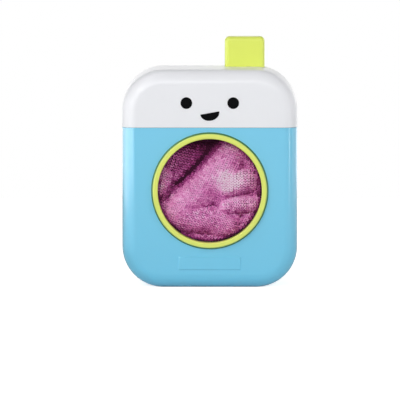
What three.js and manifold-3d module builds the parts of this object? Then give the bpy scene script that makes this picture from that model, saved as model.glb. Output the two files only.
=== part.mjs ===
// A toddler's toy washing machine, in millimetres: +Z up, the face towards -Y, standing on z = 0.
// Pressing the push button drives a rack, which spins the drum through a step-up gear.
import * as THREE from "three";
import { mergeVertices } from "three/addons/utils/BufferGeometryUtils.js";
import Module from "manifold-3d";

const wasm = await Module();
wasm.setup();

// Case
const caseDepth = 66;
const caseSideRoom = 22;
const caseBaseRoom = 29;
const cornerRadius = 28.5;
const edgeRadius = 10;
const wall = 2.5;
const seamRoom = 5;
const frontShellDepth = 33;
const seamGap = 0.2;
const lipWall = 1.2;
const lipGap = 0.3;
const lipReach = 2.5;
const lipRoot = 4;
const hoodLipReach = 3.5;
const hoodLipRoot = 5;

// Name panel, left blank
const panelWidth = 43.7;
const panelHeight = 9.6;
const panelBase = 12.5;
const panelProud = 0.6;

// Porthole ring
const boreRadius = 36.25;
const ringWidth = 4.6;
const ringTaper = 1.15;
const ringProud = 3;
const ringLipRadius = 0.7;
const spigotWall = 2.25;
const spigotGap = 0.3;
const lugDepth = 1.5;
const lugProud = 1.4;
const lugWidth = 9;
const lugCount = 6;

// Face print
const printThickness = 0.25;
const printGap = 0.05;
const eyeRadius = 4.05;
const eyeSpread = 16.3;
const eyeRise = 17.2;
const mouthWidth = 13.4;
const mouthDrop = 5.4;
const mouthRise = 10.3;
const mouthTilt = THREE.MathUtils.degToRad(10);

// Drum and its shaft
const drumFrontGap = 1;
const drumRunIn = 0.75;
const drumWall = 2;
const drumHubRadius = 7;
const drumHubLength = 1.7;
const lifterCount = 3;
const lifterHeight = 2.9;
const lifterWidth = 6;
const lifterInset = 9;
const perforationRadius = 2.2;
const perforationRows = 2;
const perforationsPerRow = 9;
const shaftRadius = 2.5;
const shaftSeat = 1.5;
const shaftTail = 2.8;
const shaftRearRoom = 1.9;
const clipGrooveDepth = 0.6;

// Cloth
const clothRimGap = 0.35;
const clothFrontGap = 0.6;
const clothBackGap = 0.4;
const clothRise = 9;
const clothRimRise = 3;
const clothLifterGap = 0.5;

// Gears
const drumGearRadius = 8;
const pinionRadius = 7.5;
const pressureAngle = THREE.MathUtils.degToRad(25);
const drumTeeth = 16;
const driveTeeth = 50;
const pinionTeeth = 12;
const toothThinning = 0.15;
const dedendumShare = 1.25;
const gearWidth = 4;
const pinionWidth = 6;
const pinionGap = 1;
const gearAxleRadius = 1.5;
const axleSocket = 3.5;
const socketWall = 2;
const gearHubRadius = 4.2;
const spokeHoleCount = 5;
const spokeHoleRadius = 4.2;
const runningGap = 0.2;
const endGap = 0.3;

// Gear plate, gearbox cover and bushes
const plateSideRoom = 14;
const plateDrop = 28;
const plateEarMargin = 5;
const plateCorner = 6;
const plateThickness = 2.5;
const gearGap = 1.5;
const coverGap = 2;
const coverThickness = 2.5;
const coverMargin = 3.5;
const coverCorner = 3;
const bushRadius = 4.2;
const bushFlangeRadius = 5.6;
const bushFlange = 1;
const bushTail = 0.3;
const washerRadius = 4.6;
const washerThickness = 0.6;
const clipRadius = 4.2;
const clipThickness = 0.8;
const clipMouth = 3;

// Push button, rack and return spring
const buttonCentre = 24.5;
const buttonWidth = 28;
const buttonDepth = 14;
const buttonProud = 21;
const buttonTravel = 18;
const buttonCorner = 3;
const buttonEdge = 2.8;
const buttonWall = 2;
const buttonSkirt = 9;
const travelGap = 1;
const slotGap = 0.4;
const slotWall = 2;
const flangeReach = 1.2;
const flangeThickness = 3;
const rackOffset = 3.25;
const rackBody = 6.75;
const rackOverrun = 6;
const rackHeadGap = 0.5;
const rackHeadThickness = 3;
const rackHeadInset = 6;
const guideGap = 0.3;
const guideThickness = 2.5;
const guideDrop = 7;
const guideRise = 14;
const springRadius = 3;
const springWire = 0.45;
const springTurns = 8;
const springRise = 6;
const springPostRadius = 2;
const springPostGap = 4;
const springSpigot = 3.5;
const ledgeThickness = 2;
const ledgeHalfWidth = 6;

// Screws and the bosses they enter: radius, place across, height
const screwShank = 1.3;
const screwHead = 2.6;
const screwHeadHeight = 1.7;
const screwGap = 0.3;
const caseScrewLength = 14;
const plateScrewLength = 10;
const coverScrewLength = 9;
const hoodScrewLength = 9;
const rackScrewLength = 10;
const drumScrewLength = 8;
const wellRadius = 3.4;
const wellWall = 1.1;
const wellFloor = 3;
const caseBossRadius = 4;
const plateBossRadius = 3.5;
const postRadius = 3;
const rackBossRadius = 3;
const rackScrewInset = 6;
const hoodEarLength = 8;
const notchGap = 0.8;
const lowerCaseScrewInset = 19;
const lowerCaseScrewRise = 19;
const upperCaseScrewInset = 14.5;
const upperCaseScrewDrop = 10;
const plateScrewInset = 5;
const plateScrewRise = 6;
const plateScrewDrop = 12;
const hoodScrewInset = 5.5;
const hoodScrewRise = 5;
const coverPostGap = 0.6;
const coverPostSpread = 19.5;
const coverLowerDrop = 8;
const coverLowerLeft = 14;

// How finely curves are faceted, and how far a cutter overruns what it cuts
const caseSteps = 4;
const edgeSteps = 3;
const roundSides = 40;
const eyeSides = 24;
const smallSides = 10;
const screwSides = 8;
const overrun = 1;

// Radii, centres and heights. The case is built round the drum, and its top clears the gears and the travel.
const drumInnerRadius = boreRadius + drumRunIn;
const drumOuterRadius = drumInnerRadius + drumWall;
const spigotRadius = boreRadius + spigotWall;
const portholeRadius = spigotRadius + spigotGap;
const ringRadius = boreRadius + ringWidth;
const clothRadius = boreRadius - clothRimGap;
const caseWidth = 2 * (drumOuterRadius + caseSideRoom);
const drumHeight = drumOuterRadius + caseBaseRoom;
const seamHeight = drumHeight + drumOuterRadius + seamRoom;
const gearAddendum = (2 * drumGearRadius) / drumTeeth;
const rackAddendum = (2 * pinionRadius) / pinionTeeth;
const driveGearRadius = (driveTeeth * gearAddendum) / 2;
const rackPitchLine = buttonCentre - rackOffset;
const rackBack = rackPitchLine + rackBody;
const driveX = rackPitchLine - pinionRadius;
const gearSpacing = drumGearRadius + driveGearRadius;
const driveTipRadius = driveGearRadius + gearAddendum;
const driveHeight = drumHeight + Math.sqrt(gearSpacing ** 2 - driveX ** 2);
const caseHeight = driveHeight + driveTipRadius + travelGap + buttonTravel + buttonSkirt;
const buttonTop = caseHeight + buttonProud;
const skirtBase = caseHeight - buttonSkirt;
const rackHeadHeight = skirtBase + rackHeadInset;
const rackBase = driveHeight - rackOverrun - 3 * rackAddendum;
const rackToothTop = driveHeight + buttonTravel + rackOverrun;
const plateBase = drumHeight - plateDrop;
const springBase = plateBase + springRise;
const springPostTop = rackBase - buttonTravel - springSpigot - springPostGap;
const screwBore = screwShank + screwGap;
const plateHalfWidth = caseWidth / 2 - plateSideRoom;
const hoodScrewHeight = seamHeight + hoodScrewRise;
const plateTop = hoodScrewHeight + plateEarMargin;
const coverPostReach = driveTipRadius + postRadius + coverPostGap;
const coverUpperHeight = driveHeight + Math.sqrt(coverPostReach ** 2 - coverPostSpread ** 2);
const coverLowerHeight = drumHeight - coverLowerDrop;
const rackScrewSpread = buttonWidth / 2 - rackScrewInset;

// Places along the depth: the front's from the face, the gearbox's from the back wall
const frontFace = (ringProud - caseDepth) / 2;
const backFace = frontFace + caseDepth;
const partingPlane = frontFace + frontShellDepth;
const spigotEnd = frontFace + wall + lipGap + lugDepth;
const drumRim = spigotEnd + drumFrontGap;
const shaftTip = backFace - wall - shaftRearRoom;
const clipFront = shaftTip - shaftTail - clipThickness;
const washerFront = clipFront - endGap - washerThickness;
const coverBack = washerFront - endGap - bushTail;
const coverFront = coverBack - coverThickness;
const pinionBack = coverFront - coverGap;
const pinionFront = pinionBack - pinionWidth;
const gearBack = pinionFront - pinionGap;
const gearFront = gearBack - gearWidth;
const plateBack = gearFront - gearGap;
const plateFront = plateBack - plateThickness;
const drumHubEnd = plateFront - bushFlange - endGap;
const drumBack = drumHubEnd - drumHubLength;
const drumFloor = drumBack - drumWall;
const buttonY = (pinionFront + pinionBack) / 2;

// Solids from three.js geometry, and back
function solid(geometry) {
  const bare = geometry.clone();
  bare.deleteAttribute("normal");
  bare.deleteAttribute("uv");
  const merged = mergeVertices(bare);
  const corners = merged.attributes.position.array;
  const index = Array.from(merged.index.array);
  const triangles = [];
  let volume = 0;
  const corner = (i) => new THREE.Vector3().fromArray(corners, i * 3);
  for (let i = 0; i < index.length; i += 3) {
    const [a, b, c] = index.slice(i, i + 3);
    if (a === b || b === c || c === a) continue;
    triangles.push([a, b, c]);
    volume += corner(a).dot(corner(b).cross(corner(c)));
  }
  const outward = volume > 0 ? triangles : triangles.map(([a, b, c]) => [a, c, b]);
  return new wasm.Manifold(
    new wasm.Mesh({
      numProp: 3,
      vertProperties: new Float32Array(corners),
      triVerts: new Uint32Array(outward.flat()),
    }),
  );
}

function join(first, ...others) {
  return others.reduce((whole, other) => whole.add(other), first);
}

function cut(whole, ...cutters) {
  return cutters.reduce((rest, cutter) => rest.subtract(cutter), whole);
}

function geometryOf(manifold) {
  const mesh = manifold.getMesh();
  const geometry = new THREE.BufferGeometry();
  geometry.setAttribute("position", new THREE.BufferAttribute(mesh.vertProperties, 3));
  geometry.setIndex(new THREE.BufferAttribute(mesh.triVerts, 1));
  return geometry;
}

// Outlines. A front outline lies in X and Z, a plan outline in X and Y.
function roundedOutline(left, right, low, high, radius) {
  const shape = new THREE.Shape();
  shape.absarc(right - radius, low + radius, radius, -Math.PI / 2, 0);
  shape.absarc(right - radius, high - radius, radius, 0, Math.PI / 2);
  shape.absarc(left + radius, high - radius, radius, Math.PI / 2, Math.PI);
  shape.absarc(left + radius, low + radius, radius, Math.PI, 1.5 * Math.PI);
  return shape;
}

function polygonOutline(points) {
  return new THREE.Shape(points.map(([a, b]) => new THREE.Vector2(a, b)));
}

function frontPrism(outline, near, far, steps = caseSteps) {
  const options = { depth: far - near, bevelEnabled: false, curveSegments: steps };
  return solid(new THREE.ExtrudeGeometry(outline, options).rotateX(Math.PI / 2).translate(0, far, 0));
}

function planPrism(outline, low, high, steps = caseSteps) {
  const options = { depth: high - low, bevelEnabled: false, curveSegments: steps };
  return solid(new THREE.ExtrudeGeometry(outline, options).translate(0, 0, low));
}

function block(left, right, near, far, low, high) {
  const box = new THREE.BoxGeometry(right - left, far - near, high - low);
  return solid(box.translate((left + right) / 2, (near + far) / 2, (low + high) / 2));
}

// Round pieces. A lathe's axis is Y, the drum's own axis.
function rodAlongY(x, z, radius, near, far, sides = smallSides) {
  const rod = new THREE.CylinderGeometry(radius, radius, far - near, sides);
  return solid(rod.translate(x, (near + far) / 2, z));
}

function rodAlongZ(x, y, radius, low, high, sides = smallSides) {
  const rod = new THREE.CylinderGeometry(radius, radius, high - low, sides).rotateX(Math.PI / 2);
  return solid(rod.translate(x, y, (low + high) / 2));
}

function turned(profile, x, z, sides = smallSides) {
  const points = profile.map(([radius, depth]) => new THREE.Vector2(radius, depth));
  return solid(new THREE.LatheGeometry(points, sides).translate(x, 0, z));
}

// The case's rounded block, drawn in by an inset on every side
function caseBlock(inset) {
  const round = edgeRadius - inset;
  const side = caseWidth / 2 - inset;
  const options = {
    depth: caseDepth - 2 * edgeRadius,
    bevelThickness: round,
    bevelSize: round,
    bevelOffset: -round,
    bevelSegments: edgeSteps,
    curveSegments: caseSteps,
  };
  const outline = roundedOutline(-side, side, inset, caseHeight - inset, cornerRadius - inset);
  const geometry = new THREE.ExtrudeGeometry(outline, options).rotateX(Math.PI / 2);
  return solid(geometry.translate(0, backFace - edgeRadius, 0));
}

const halfSpace = caseWidth + caseHeight;
const below = (height) => block(-halfSpace, halfSpace, -halfSpace, halfSpace, -halfSpace, height);
const before = (depth) => block(-halfSpace, halfSpace, -halfSpace, depth, -halfSpace, halfSpace);

const caseSolid = caseBlock(0);
const caseHollow = caseBlock(wall);
const caseSkin = caseSolid.subtract(caseHollow);

// A band inside the case wall, between two insets, along the parting line between the two shells
function partingBand(outerInset, innerInset, near, far) {
  const ring = (inset) =>
    roundedOutline(
      inset - caseWidth / 2,
      caseWidth / 2 - inset,
      inset,
      caseHeight - inset,
      cornerRadius - inset,
    );
  const hollow = frontPrism(ring(innerInset), near - overrun, far + overrun);
  return frontPrism(ring(outerInset), near, far).subtract(hollow);
}

// The same, lying flat along the seam under the hood
function seamBand(outerInset, innerInset, low, high) {
  const ring = (inset) =>
    roundedOutline(
      inset - caseWidth / 2,
      caseWidth / 2 - inset,
      frontFace + inset,
      backFace - inset,
      edgeRadius - inset,
    );
  const hollow = planPrism(ring(innerInset), low - overrun, high + overrun, edgeSteps);
  return planPrism(ring(outerInset), low, high, edgeSteps).subtract(hollow);
}

// Where the screws go, across and up
const upperCaseScrewHeight = seamHeight - upperCaseScrewDrop;
const mirrored = (x, height) => [
  [-x, height],
  [x, height],
];
const caseScrewPlaces = [
  ...mirrored(caseWidth / 2 - lowerCaseScrewInset, lowerCaseScrewRise),
  ...mirrored(caseWidth / 2 - upperCaseScrewInset, upperCaseScrewHeight),
];
const plateScrewPlaces = [
  ...mirrored(plateHalfWidth - plateScrewInset, plateBase + plateScrewRise),
  ...mirrored(plateHalfWidth - plateScrewInset, upperCaseScrewHeight - plateScrewDrop),
];
const hoodScrewPlaces = mirrored(plateHalfWidth - hoodScrewInset, hoodScrewHeight);
const coverScrewPlaces = [
  [-coverLowerLeft, coverLowerHeight],
  [driveX + coverPostSpread, coverLowerHeight],
  [driveX - coverPostSpread, coverUpperHeight],
  [driveX + coverPostSpread, coverUpperHeight],
];

// A boss that stands on the case's front wall, with its pilot hole
function frontBoss([x, z], radius, far, holeDepth) {
  const boss = rodAlongY(x, z, radius, frontFace + wall / 2, far);
  return boss.subtract(rodAlongY(x, z, screwBore, far - holeDepth, far + overrun));
}

// A column from the case's back wall to a screw's seat, and the well that its driver reaches down
function backColumn([x, z], near) {
  return rodAlongY(x, z, wellRadius + wellWall, near, backFace - wall / 2);
}

function backWell([x, z], near) {
  const well = rodAlongY(x, z, wellRadius, near + wellFloor, backFace + overrun);
  return well.add(rodAlongY(x, z, screwBore, near - overrun, backFace));
}

const columnFront = partingPlane + seamGap / 2;
const hoodColumnFront = plateBack + endGap;

function makeFrontShell() {
  const half = caseSkin.intersect(below(seamHeight - seamGap / 2)).intersect(before(partingPlane - seamGap / 2));
  const lip = join(
    partingBand(wall + lipGap, wall + lipGap + lipWall, partingPlane - lipRoot, partingPlane + lipReach),
    partingBand(wall - lipGap, wall + lipGap + lipWall, partingPlane - lipRoot, partingPlane - overrun),
  ).intersect(below(seamHeight - hoodLipReach - overrun));
  const caseBosses = caseScrewPlaces.map((place) =>
    frontBoss(place, caseBossRadius, partingPlane - seamGap / 2, caseScrewLength - wellFloor + overrun),
  );
  const plateBosses = plateScrewPlaces.map((place) =>
    frontBoss(place, plateBossRadius, plateFront - lipGap, plateScrewLength),
  );
  const panel = block(
    -panelWidth / 2,
    panelWidth / 2,
    frontFace - panelProud,
    frontFace + wall / 2,
    panelBase,
    panelBase + panelHeight,
  );
  const porthole = rodAlongY(0, drumHeight, portholeRadius, frontFace - overrun, frontFace + wall + overrun, roundSides);
  return join(half.subtract(porthole), lip, panel, ...caseBosses, ...plateBosses);
}

function makeRearShell() {
  const half = caseSkin
    .intersect(below(seamHeight - seamGap / 2))
    .subtract(before(partingPlane + seamGap / 2));
  const columns = caseScrewPlaces.map((place) => backColumn(place, columnFront));
  const wells = caseScrewPlaces.map((place) => backWell(place, columnFront));
  return cut(join(half, ...columns), ...wells);
}

// The push button slides in a slot through the hood's top, which a short skirt lengthens
function buttonOutline(offset) {
  return roundedOutline(
    buttonCentre - buttonWidth / 2 - offset,
    buttonCentre + buttonWidth / 2 + offset,
    buttonY - buttonDepth / 2 - offset,
    buttonY + buttonDepth / 2 + offset,
    buttonEdge + offset,
  );
}

function makeHood() {
  const cap = caseSkin.subtract(below(seamHeight + seamGap / 2));
  const lipTop = seamHeight + hoodLipRoot;
  const lip = join(
    seamBand(wall + lipGap, wall + lipGap + lipWall, seamHeight - hoodLipReach, lipTop),
    seamBand(wall - lipGap, wall + lipGap + lipWall, seamHeight + overrun, lipTop),
  );
  const slotBase = skirtBase + flangeThickness + lipGap;
  const skirt = planPrism(buttonOutline(slotGap + slotWall), slotBase, caseHeight - wall / 2, edgeSteps);
  const columns = hoodScrewPlaces.map((place) => backColumn(place, hoodColumnFront));
  const wells = hoodScrewPlaces.map((place) => backWell(place, hoodColumnFront));
  const slot = planPrism(buttonOutline(slotGap), slotBase - overrun, caseHeight + overrun, edgeSteps);
  return cut(join(cap, lip, skirt.intersect(caseSolid), ...columns), slot, ...wells);
}

function makeRing() {
  const seat = frontFace - printGap;
  const face = frontFace - ringProud;
  const bezel = turned(
    [
      [boreRadius, spigotEnd],
      [boreRadius, face + ringLipRadius],
      [boreRadius + ringLipRadius, face],
      [ringRadius - ringTaper - ringLipRadius, face],
      [ringRadius - ringTaper, face + ringLipRadius],
      [ringRadius, seat],
      [spigotRadius, seat],
      [spigotRadius, spigotEnd],
      [boreRadius, spigotEnd],
    ],
    0,
    drumHeight,
    roundSides,
  );
  const lugs = [];
  for (let i = 0; i < lugCount; i += 1) {
    const lug = new THREE.BoxGeometry(lugWidth, lugDepth, lugProud + spigotWall / 2);
    lug.translate(0, spigotEnd - lugDepth / 2, spigotRadius + (lugProud - spigotWall / 2) / 2);
    lug.rotateY((i * 2 * Math.PI) / lugCount);
    lugs.push(solid(lug.translate(0, 0, drumHeight)));
  }
  return join(bezel, ...lugs);
}

// The face is pad-printed on the hood
function makeEye(side) {
  const back = frontFace - printGap;
  return rodAlongY(side * eyeSpread, seamHeight + eyeRise, eyeRadius, back - printThickness, back, eyeSides);
}

function makeMouth() {
  const back = frontFace - printGap;
  const shape = new THREE.Shape();
  shape.absellipse(0, 0, mouthWidth / 2, mouthDrop, Math.PI, 2 * Math.PI);
  const options = { depth: printThickness, bevelEnabled: false, curveSegments: smallSides };
  const mouth = new THREE.ExtrudeGeometry(shape, options).rotateX(Math.PI / 2).rotateY(-mouthTilt);
  return solid(mouth.translate(0, back, seamHeight + mouthRise));
}

// The ribs along the drum's inner wall, grown by a gap on every side and running back to a given depth
function lifters(gap, far) {
  const near = drumRim + lifterInset - gap;
  const inner = drumInnerRadius - lifterHeight - gap;
  const height = drumInnerRadius + drumWall / 2 - inner;
  const ribs = [];
  for (let i = 0; i < lifterCount; i += 1) {
    const rib = new THREE.BoxGeometry(lifterWidth + 2 * gap, far - near, height);
    rib.translate(0, (near + far) / 2, inner + height / 2);
    rib.rotateY((i * 2 * Math.PI) / lifterCount);
    ribs.push(solid(rib.translate(0, 0, drumHeight)));
  }
  return ribs;
}

// The drum: a perforated cup with lifters inside, open to the front
function makeDrum() {
  const cup = turned(
    [
      [shaftRadius + runningGap, drumFloor],
      [drumInnerRadius, drumFloor],
      [drumInnerRadius, drumRim],
      [drumOuterRadius, drumRim],
      [drumOuterRadius, drumBack],
      [drumHubRadius, drumBack],
      [drumHubRadius, drumHubEnd],
      [shaftRadius + runningGap, drumHubEnd],
      [shaftRadius + runningGap, drumFloor],
    ],
    0,
    drumHeight,
    roundSides,
  );
  const holes = [];
  const rowPitch = (drumFloor - drumRim) / (perforationRows + 1);
  for (let row = 1; row <= perforationRows; row += 1) {
    for (let i = 0; i < perforationsPerRow; i += 1) {
      const hole = new THREE.CylinderGeometry(perforationRadius, perforationRadius, 2 * drumWall, smallSides / 2);
      hole.rotateX(Math.PI / 2).translate(0, drumRim + row * rowPitch, drumInnerRadius + drumWall / 2);
      hole.rotateY(((i + 0.5) * 2 * Math.PI) / perforationsPerRow);
      holes.push(solid(hole.translate(0, 0, drumHeight)));
    }
  }
  return cut(join(cup, ...lifters(0, drumBack)), ...holes);
}

function makeDrumShaft() {
  const front = drumFloor + shaftSeat;
  const grooveRadius = shaftRadius - clipGrooveDepth;
  const shaft = turned(
    [
      [0, front],
      [shaftRadius, front],
      [shaftRadius, clipFront - runningGap],
      [grooveRadius, clipFront - runningGap],
      [grooveRadius, clipFront + clipThickness + runningGap],
      [shaftRadius, clipFront + clipThickness + runningGap],
      [shaftRadius, shaftTip],
      [0, shaftTip],
    ],
    0,
    drumHeight,
  );
  return shaft.subtract(rodAlongY(0, drumHeight, screwBore, front - overrun, front + drumScrewLength));
}

// A flanged bush, its flange against the plate's front
function makeBush(near, far) {
  const inner = shaftRadius + runningGap;
  return turned(
    [
      [inner, near - bushFlange],
      [bushFlangeRadius, near - bushFlange],
      [bushFlangeRadius, near - runningGap],
      [bushRadius, near - runningGap],
      [bushRadius, far + bushTail],
      [inner, far + bushTail],
      [inner, near - bushFlange],
    ],
    0,
    drumHeight,
  );
}

function makeWasher() {
  const inner = shaftRadius + runningGap;
  return turned(
    [
      [inner, washerFront],
      [washerRadius, washerFront],
      [washerRadius, washerFront + washerThickness],
      [inner, washerFront + washerThickness],
      [inner, washerFront],
    ],
    0,
    drumHeight,
  );
}

function makeClip() {
  const far = clipFront + clipThickness;
  const grooveRadius = shaftRadius - clipGrooveDepth;
  const disc = rodAlongY(0, drumHeight, clipRadius, clipFront, far);
  const grip = rodAlongY(0, drumHeight, grooveRadius + runningGap, clipFront - overrun, far + overrun);
  const mouth = block(
    -clipMouth / 2,
    clipMouth / 2,
    clipFront - overrun,
    far + overrun,
    drumHeight - clipRadius - overrun,
    drumHeight,
  );
  return cut(disc, grip, mouth);
}

// Involute gears: the half angle of a tooth at a radius, from its thinned thickness at the pitch circle
function gearOutline(x, z, teeth, addendum, phase) {
  const pitch = (teeth * addendum) / 2;
  const base = pitch * Math.cos(pressureAngle);
  const root = pitch - dedendumShare * addendum;
  const tip = pitch + addendum;
  const involute = (radius) => {
    const angle = Math.acos(Math.min(1, base / radius));
    return Math.tan(angle) - angle;
  };
  const pitchHalf = Math.PI / (2 * teeth) - toothThinning / (2 * pitch);
  const half = (radius) => pitchHalf + involute(pitch) - involute(Math.max(radius, base));
  const radii = base > root ? [root, base, pitch, tip] : [root, pitch, tip];
  const points = [];
  for (let i = 0; i < teeth; i += 1) {
    const centre = phase + (i * 2 * Math.PI) / teeth;
    const corner = (radius, angle) => points.push([x + radius * Math.cos(angle), z + radius * Math.sin(angle)]);
    radii.forEach((radius) => corner(radius, centre - half(radius)));
    [...radii].reverse().forEach((radius) => corner(radius, centre + half(radius)));
  }
  return polygonOutline(points);
}

// The drum gear shows the drive gear the middle of a space, where the drive gear has a tooth
const towardsDrive = Math.atan2(driveHeight - drumHeight, driveX);

function makeDrumGear() {
  const outline = gearOutline(0, drumHeight, drumTeeth, gearAddendum, towardsDrive - Math.PI / drumTeeth);
  const hub = rodAlongY(
    0,
    drumHeight,
    bushFlangeRadius,
    plateBack + bushTail + endGap,
    coverFront - bushFlange - endGap,
  );
  const bore = rodAlongY(0, drumHeight, shaftRadius + runningGap, plateBack, coverBack);
  return frontPrism(outline, gearFront, gearBack).add(hub).subtract(bore);
}

function makeDriveGear() {
  const wheelOutline = gearOutline(driveX, driveHeight, driveTeeth, gearAddendum, towardsDrive + Math.PI);
  const pinionOutline = gearOutline(driveX, driveHeight, pinionTeeth, rackAddendum, 0);
  const wheel = frontPrism(wheelOutline, gearFront, gearBack);
  const pinion = frontPrism(pinionOutline, gearBack, pinionBack);
  const hub = rodAlongY(driveX, driveHeight, gearHubRadius, plateBack + endGap, coverFront - endGap);
  const bore = rodAlongY(driveX, driveHeight, gearAxleRadius + runningGap, plateBack, coverBack);
  const pinionTip = pinionRadius + rackAddendum;
  const rim = driveGearRadius - 2 * dedendumShare * gearAddendum;
  const spokeHoles = [];
  for (let i = 0; i < spokeHoleCount; i += 1) {
    const angle = (i * 2 * Math.PI) / spokeHoleCount;
    const reach = (pinionTip + rim) / 2;
    const x = driveX + reach * Math.cos(angle);
    const z = driveHeight + reach * Math.sin(angle);
    spokeHoles.push(rodAlongY(x, z, spokeHoleRadius, gearFront - overrun, gearBack + overrun));
  }
  return cut(join(wheel, pinion, hub), bore, ...spokeHoles);
}

// The fixed axle of the drive gear, held in a socket of the plate and one of the cover
function makeGearAxle() {
  return rodAlongY(
    driveX,
    driveHeight,
    gearAxleRadius,
    plateBack - axleSocket + endGap,
    coverFront + axleSocket - endGap,
  );
}

// The moulded chassis plate behind the drum
function makeGearPlate() {
  const outline = roundedOutline(-plateHalfWidth, plateHalfWidth, plateBase, plateTop, plateCorner);
  const plate = frontPrism(outline, plateFront, plateBack, edgeSteps);
  const socketFront = plateBack - axleSocket;
  const socket = rodAlongY(driveX, driveHeight, gearHubRadius, socketFront - socketWall / 2, plateBack);
  const ears = hoodScrewPlaces.map(([x, z]) =>
    rodAlongY(x, z, plateBossRadius, plateFront - hoodEarLength, plateBack),
  );
  const posts = coverScrewPlaces.map(([x, z]) => rodAlongY(x, z, postRadius, plateFront, coverFront - lipGap));
  const ledge = block(
    buttonCentre - ledgeHalfWidth,
    buttonCentre + ledgeHalfWidth,
    plateFront,
    coverFront - lipGap,
    springBase - ledgeThickness,
    springBase,
  );
  const springPost = rodAlongZ(
    buttonCentre,
    buttonY,
    springPostRadius,
    springBase - ledgeThickness,
    springPostTop,
  );
  const notches = caseScrewPlaces.map(([x, z]) =>
    rodAlongY(x, z, wellRadius + wellWall + notchGap, plateFront - overrun, plateBack + overrun),
  );
  const plateHoles = plateScrewPlaces.map(([x, z]) =>
    rodAlongY(x, z, screwBore, plateFront - overrun, plateBack + overrun),
  );
  const earHoles = hoodScrewPlaces.map(([x, z]) =>
    rodAlongY(x, z, screwBore, plateBack - hoodScrewLength, plateBack + overrun),
  );
  const postHoles = coverScrewPlaces.map(([x, z]) =>
    rodAlongY(x, z, screwBore, coverFront - coverScrewLength, coverFront + overrun),
  );
  const bushHole = rodAlongY(0, drumHeight, bushRadius + runningGap, plateFront - overrun, plateBack + overrun);
  const axleHole = rodAlongY(driveX, driveHeight, gearAxleRadius + runningGap, socketFront, plateBack + overrun);
  return cut(
    join(plate, socket, ledge, springPost, ...ears, ...posts),
    bushHole,
    axleHole,
    ...notches,
    ...plateHoles,
    ...earHoles,
    ...postHoles,
  );
}

function makeGearboxCover() {
  const outline = roundedOutline(
    -coverLowerLeft - coverMargin,
    driveX + coverPostSpread + coverMargin,
    coverLowerHeight - coverMargin,
    coverUpperHeight + coverMargin,
    coverCorner,
  );
  const plate = frontPrism(outline, coverFront, coverBack, edgeSteps);
  const socketBack = coverFront + axleSocket;
  const socket = rodAlongY(driveX, driveHeight, gearHubRadius, coverFront, socketBack + socketWall / 2);
  const guide = block(
    rackBack + guideGap,
    rackBack + guideGap + guideThickness,
    pinionFront,
    coverBack,
    driveHeight - guideDrop,
    driveHeight + guideRise,
  );
  const holes = coverScrewPlaces.map(([x, z]) =>
    rodAlongY(x, z, screwBore, coverFront - overrun, coverBack + overrun),
  );
  const bushHole = rodAlongY(0, drumHeight, bushRadius + runningGap, coverFront - overrun, coverBack + overrun);
  const axleHole = rodAlongY(driveX, driveHeight, gearAxleRadius + runningGap, coverFront - overrun, socketBack);
  return cut(join(plate, socket, guide), bushHole, axleHole, ...holes);
}

// The push button: a hollow cap, open below, kept in the hood by its flange
function makeButton() {
  const side = buttonWidth / 2;
  const options = {
    depth: buttonDepth - 2 * buttonEdge,
    bevelThickness: buttonEdge,
    bevelSize: buttonEdge,
    bevelOffset: -buttonEdge,
    bevelSegments: edgeSteps,
    curveSegments: edgeSteps,
  };
  const outline = roundedOutline(
    buttonCentre - side,
    buttonCentre + side,
    skirtBase - buttonWidth,
    buttonTop,
    buttonCorner,
  );
  const capGeometry = new THREE.ExtrudeGeometry(outline, options).rotateX(Math.PI / 2);
  const cap = solid(capGeometry.translate(0, buttonY + buttonDepth / 2 - buttonEdge, 0));
  const hollow = planPrism(buttonOutline(-buttonWall), skirtBase - overrun, buttonTop - buttonWall, edgeSteps);
  const flange = planPrism(buttonOutline(flangeReach), skirtBase, skirtBase + flangeThickness, edgeSteps);
  const bossBase = rackHeadHeight + rackHeadThickness + screwGap;
  const bosses = [-rackScrewSpread, rackScrewSpread].map((offset) =>
    rodAlongZ(buttonCentre + offset, buttonY, rackBossRadius, bossBase, buttonTop - buttonWall / 2),
  );
  const pilots = [-rackScrewSpread, rackScrewSpread].map((offset) =>
    rodAlongZ(buttonCentre + offset, buttonY, screwBore, bossBase - overrun, rackHeadHeight + rackScrewLength + overrun),
  );
  const shell = join(cap.subtract(below(skirtBase)), flange).subtract(hollow);
  return cut(join(shell, ...bosses), ...pilots);
}

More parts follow.
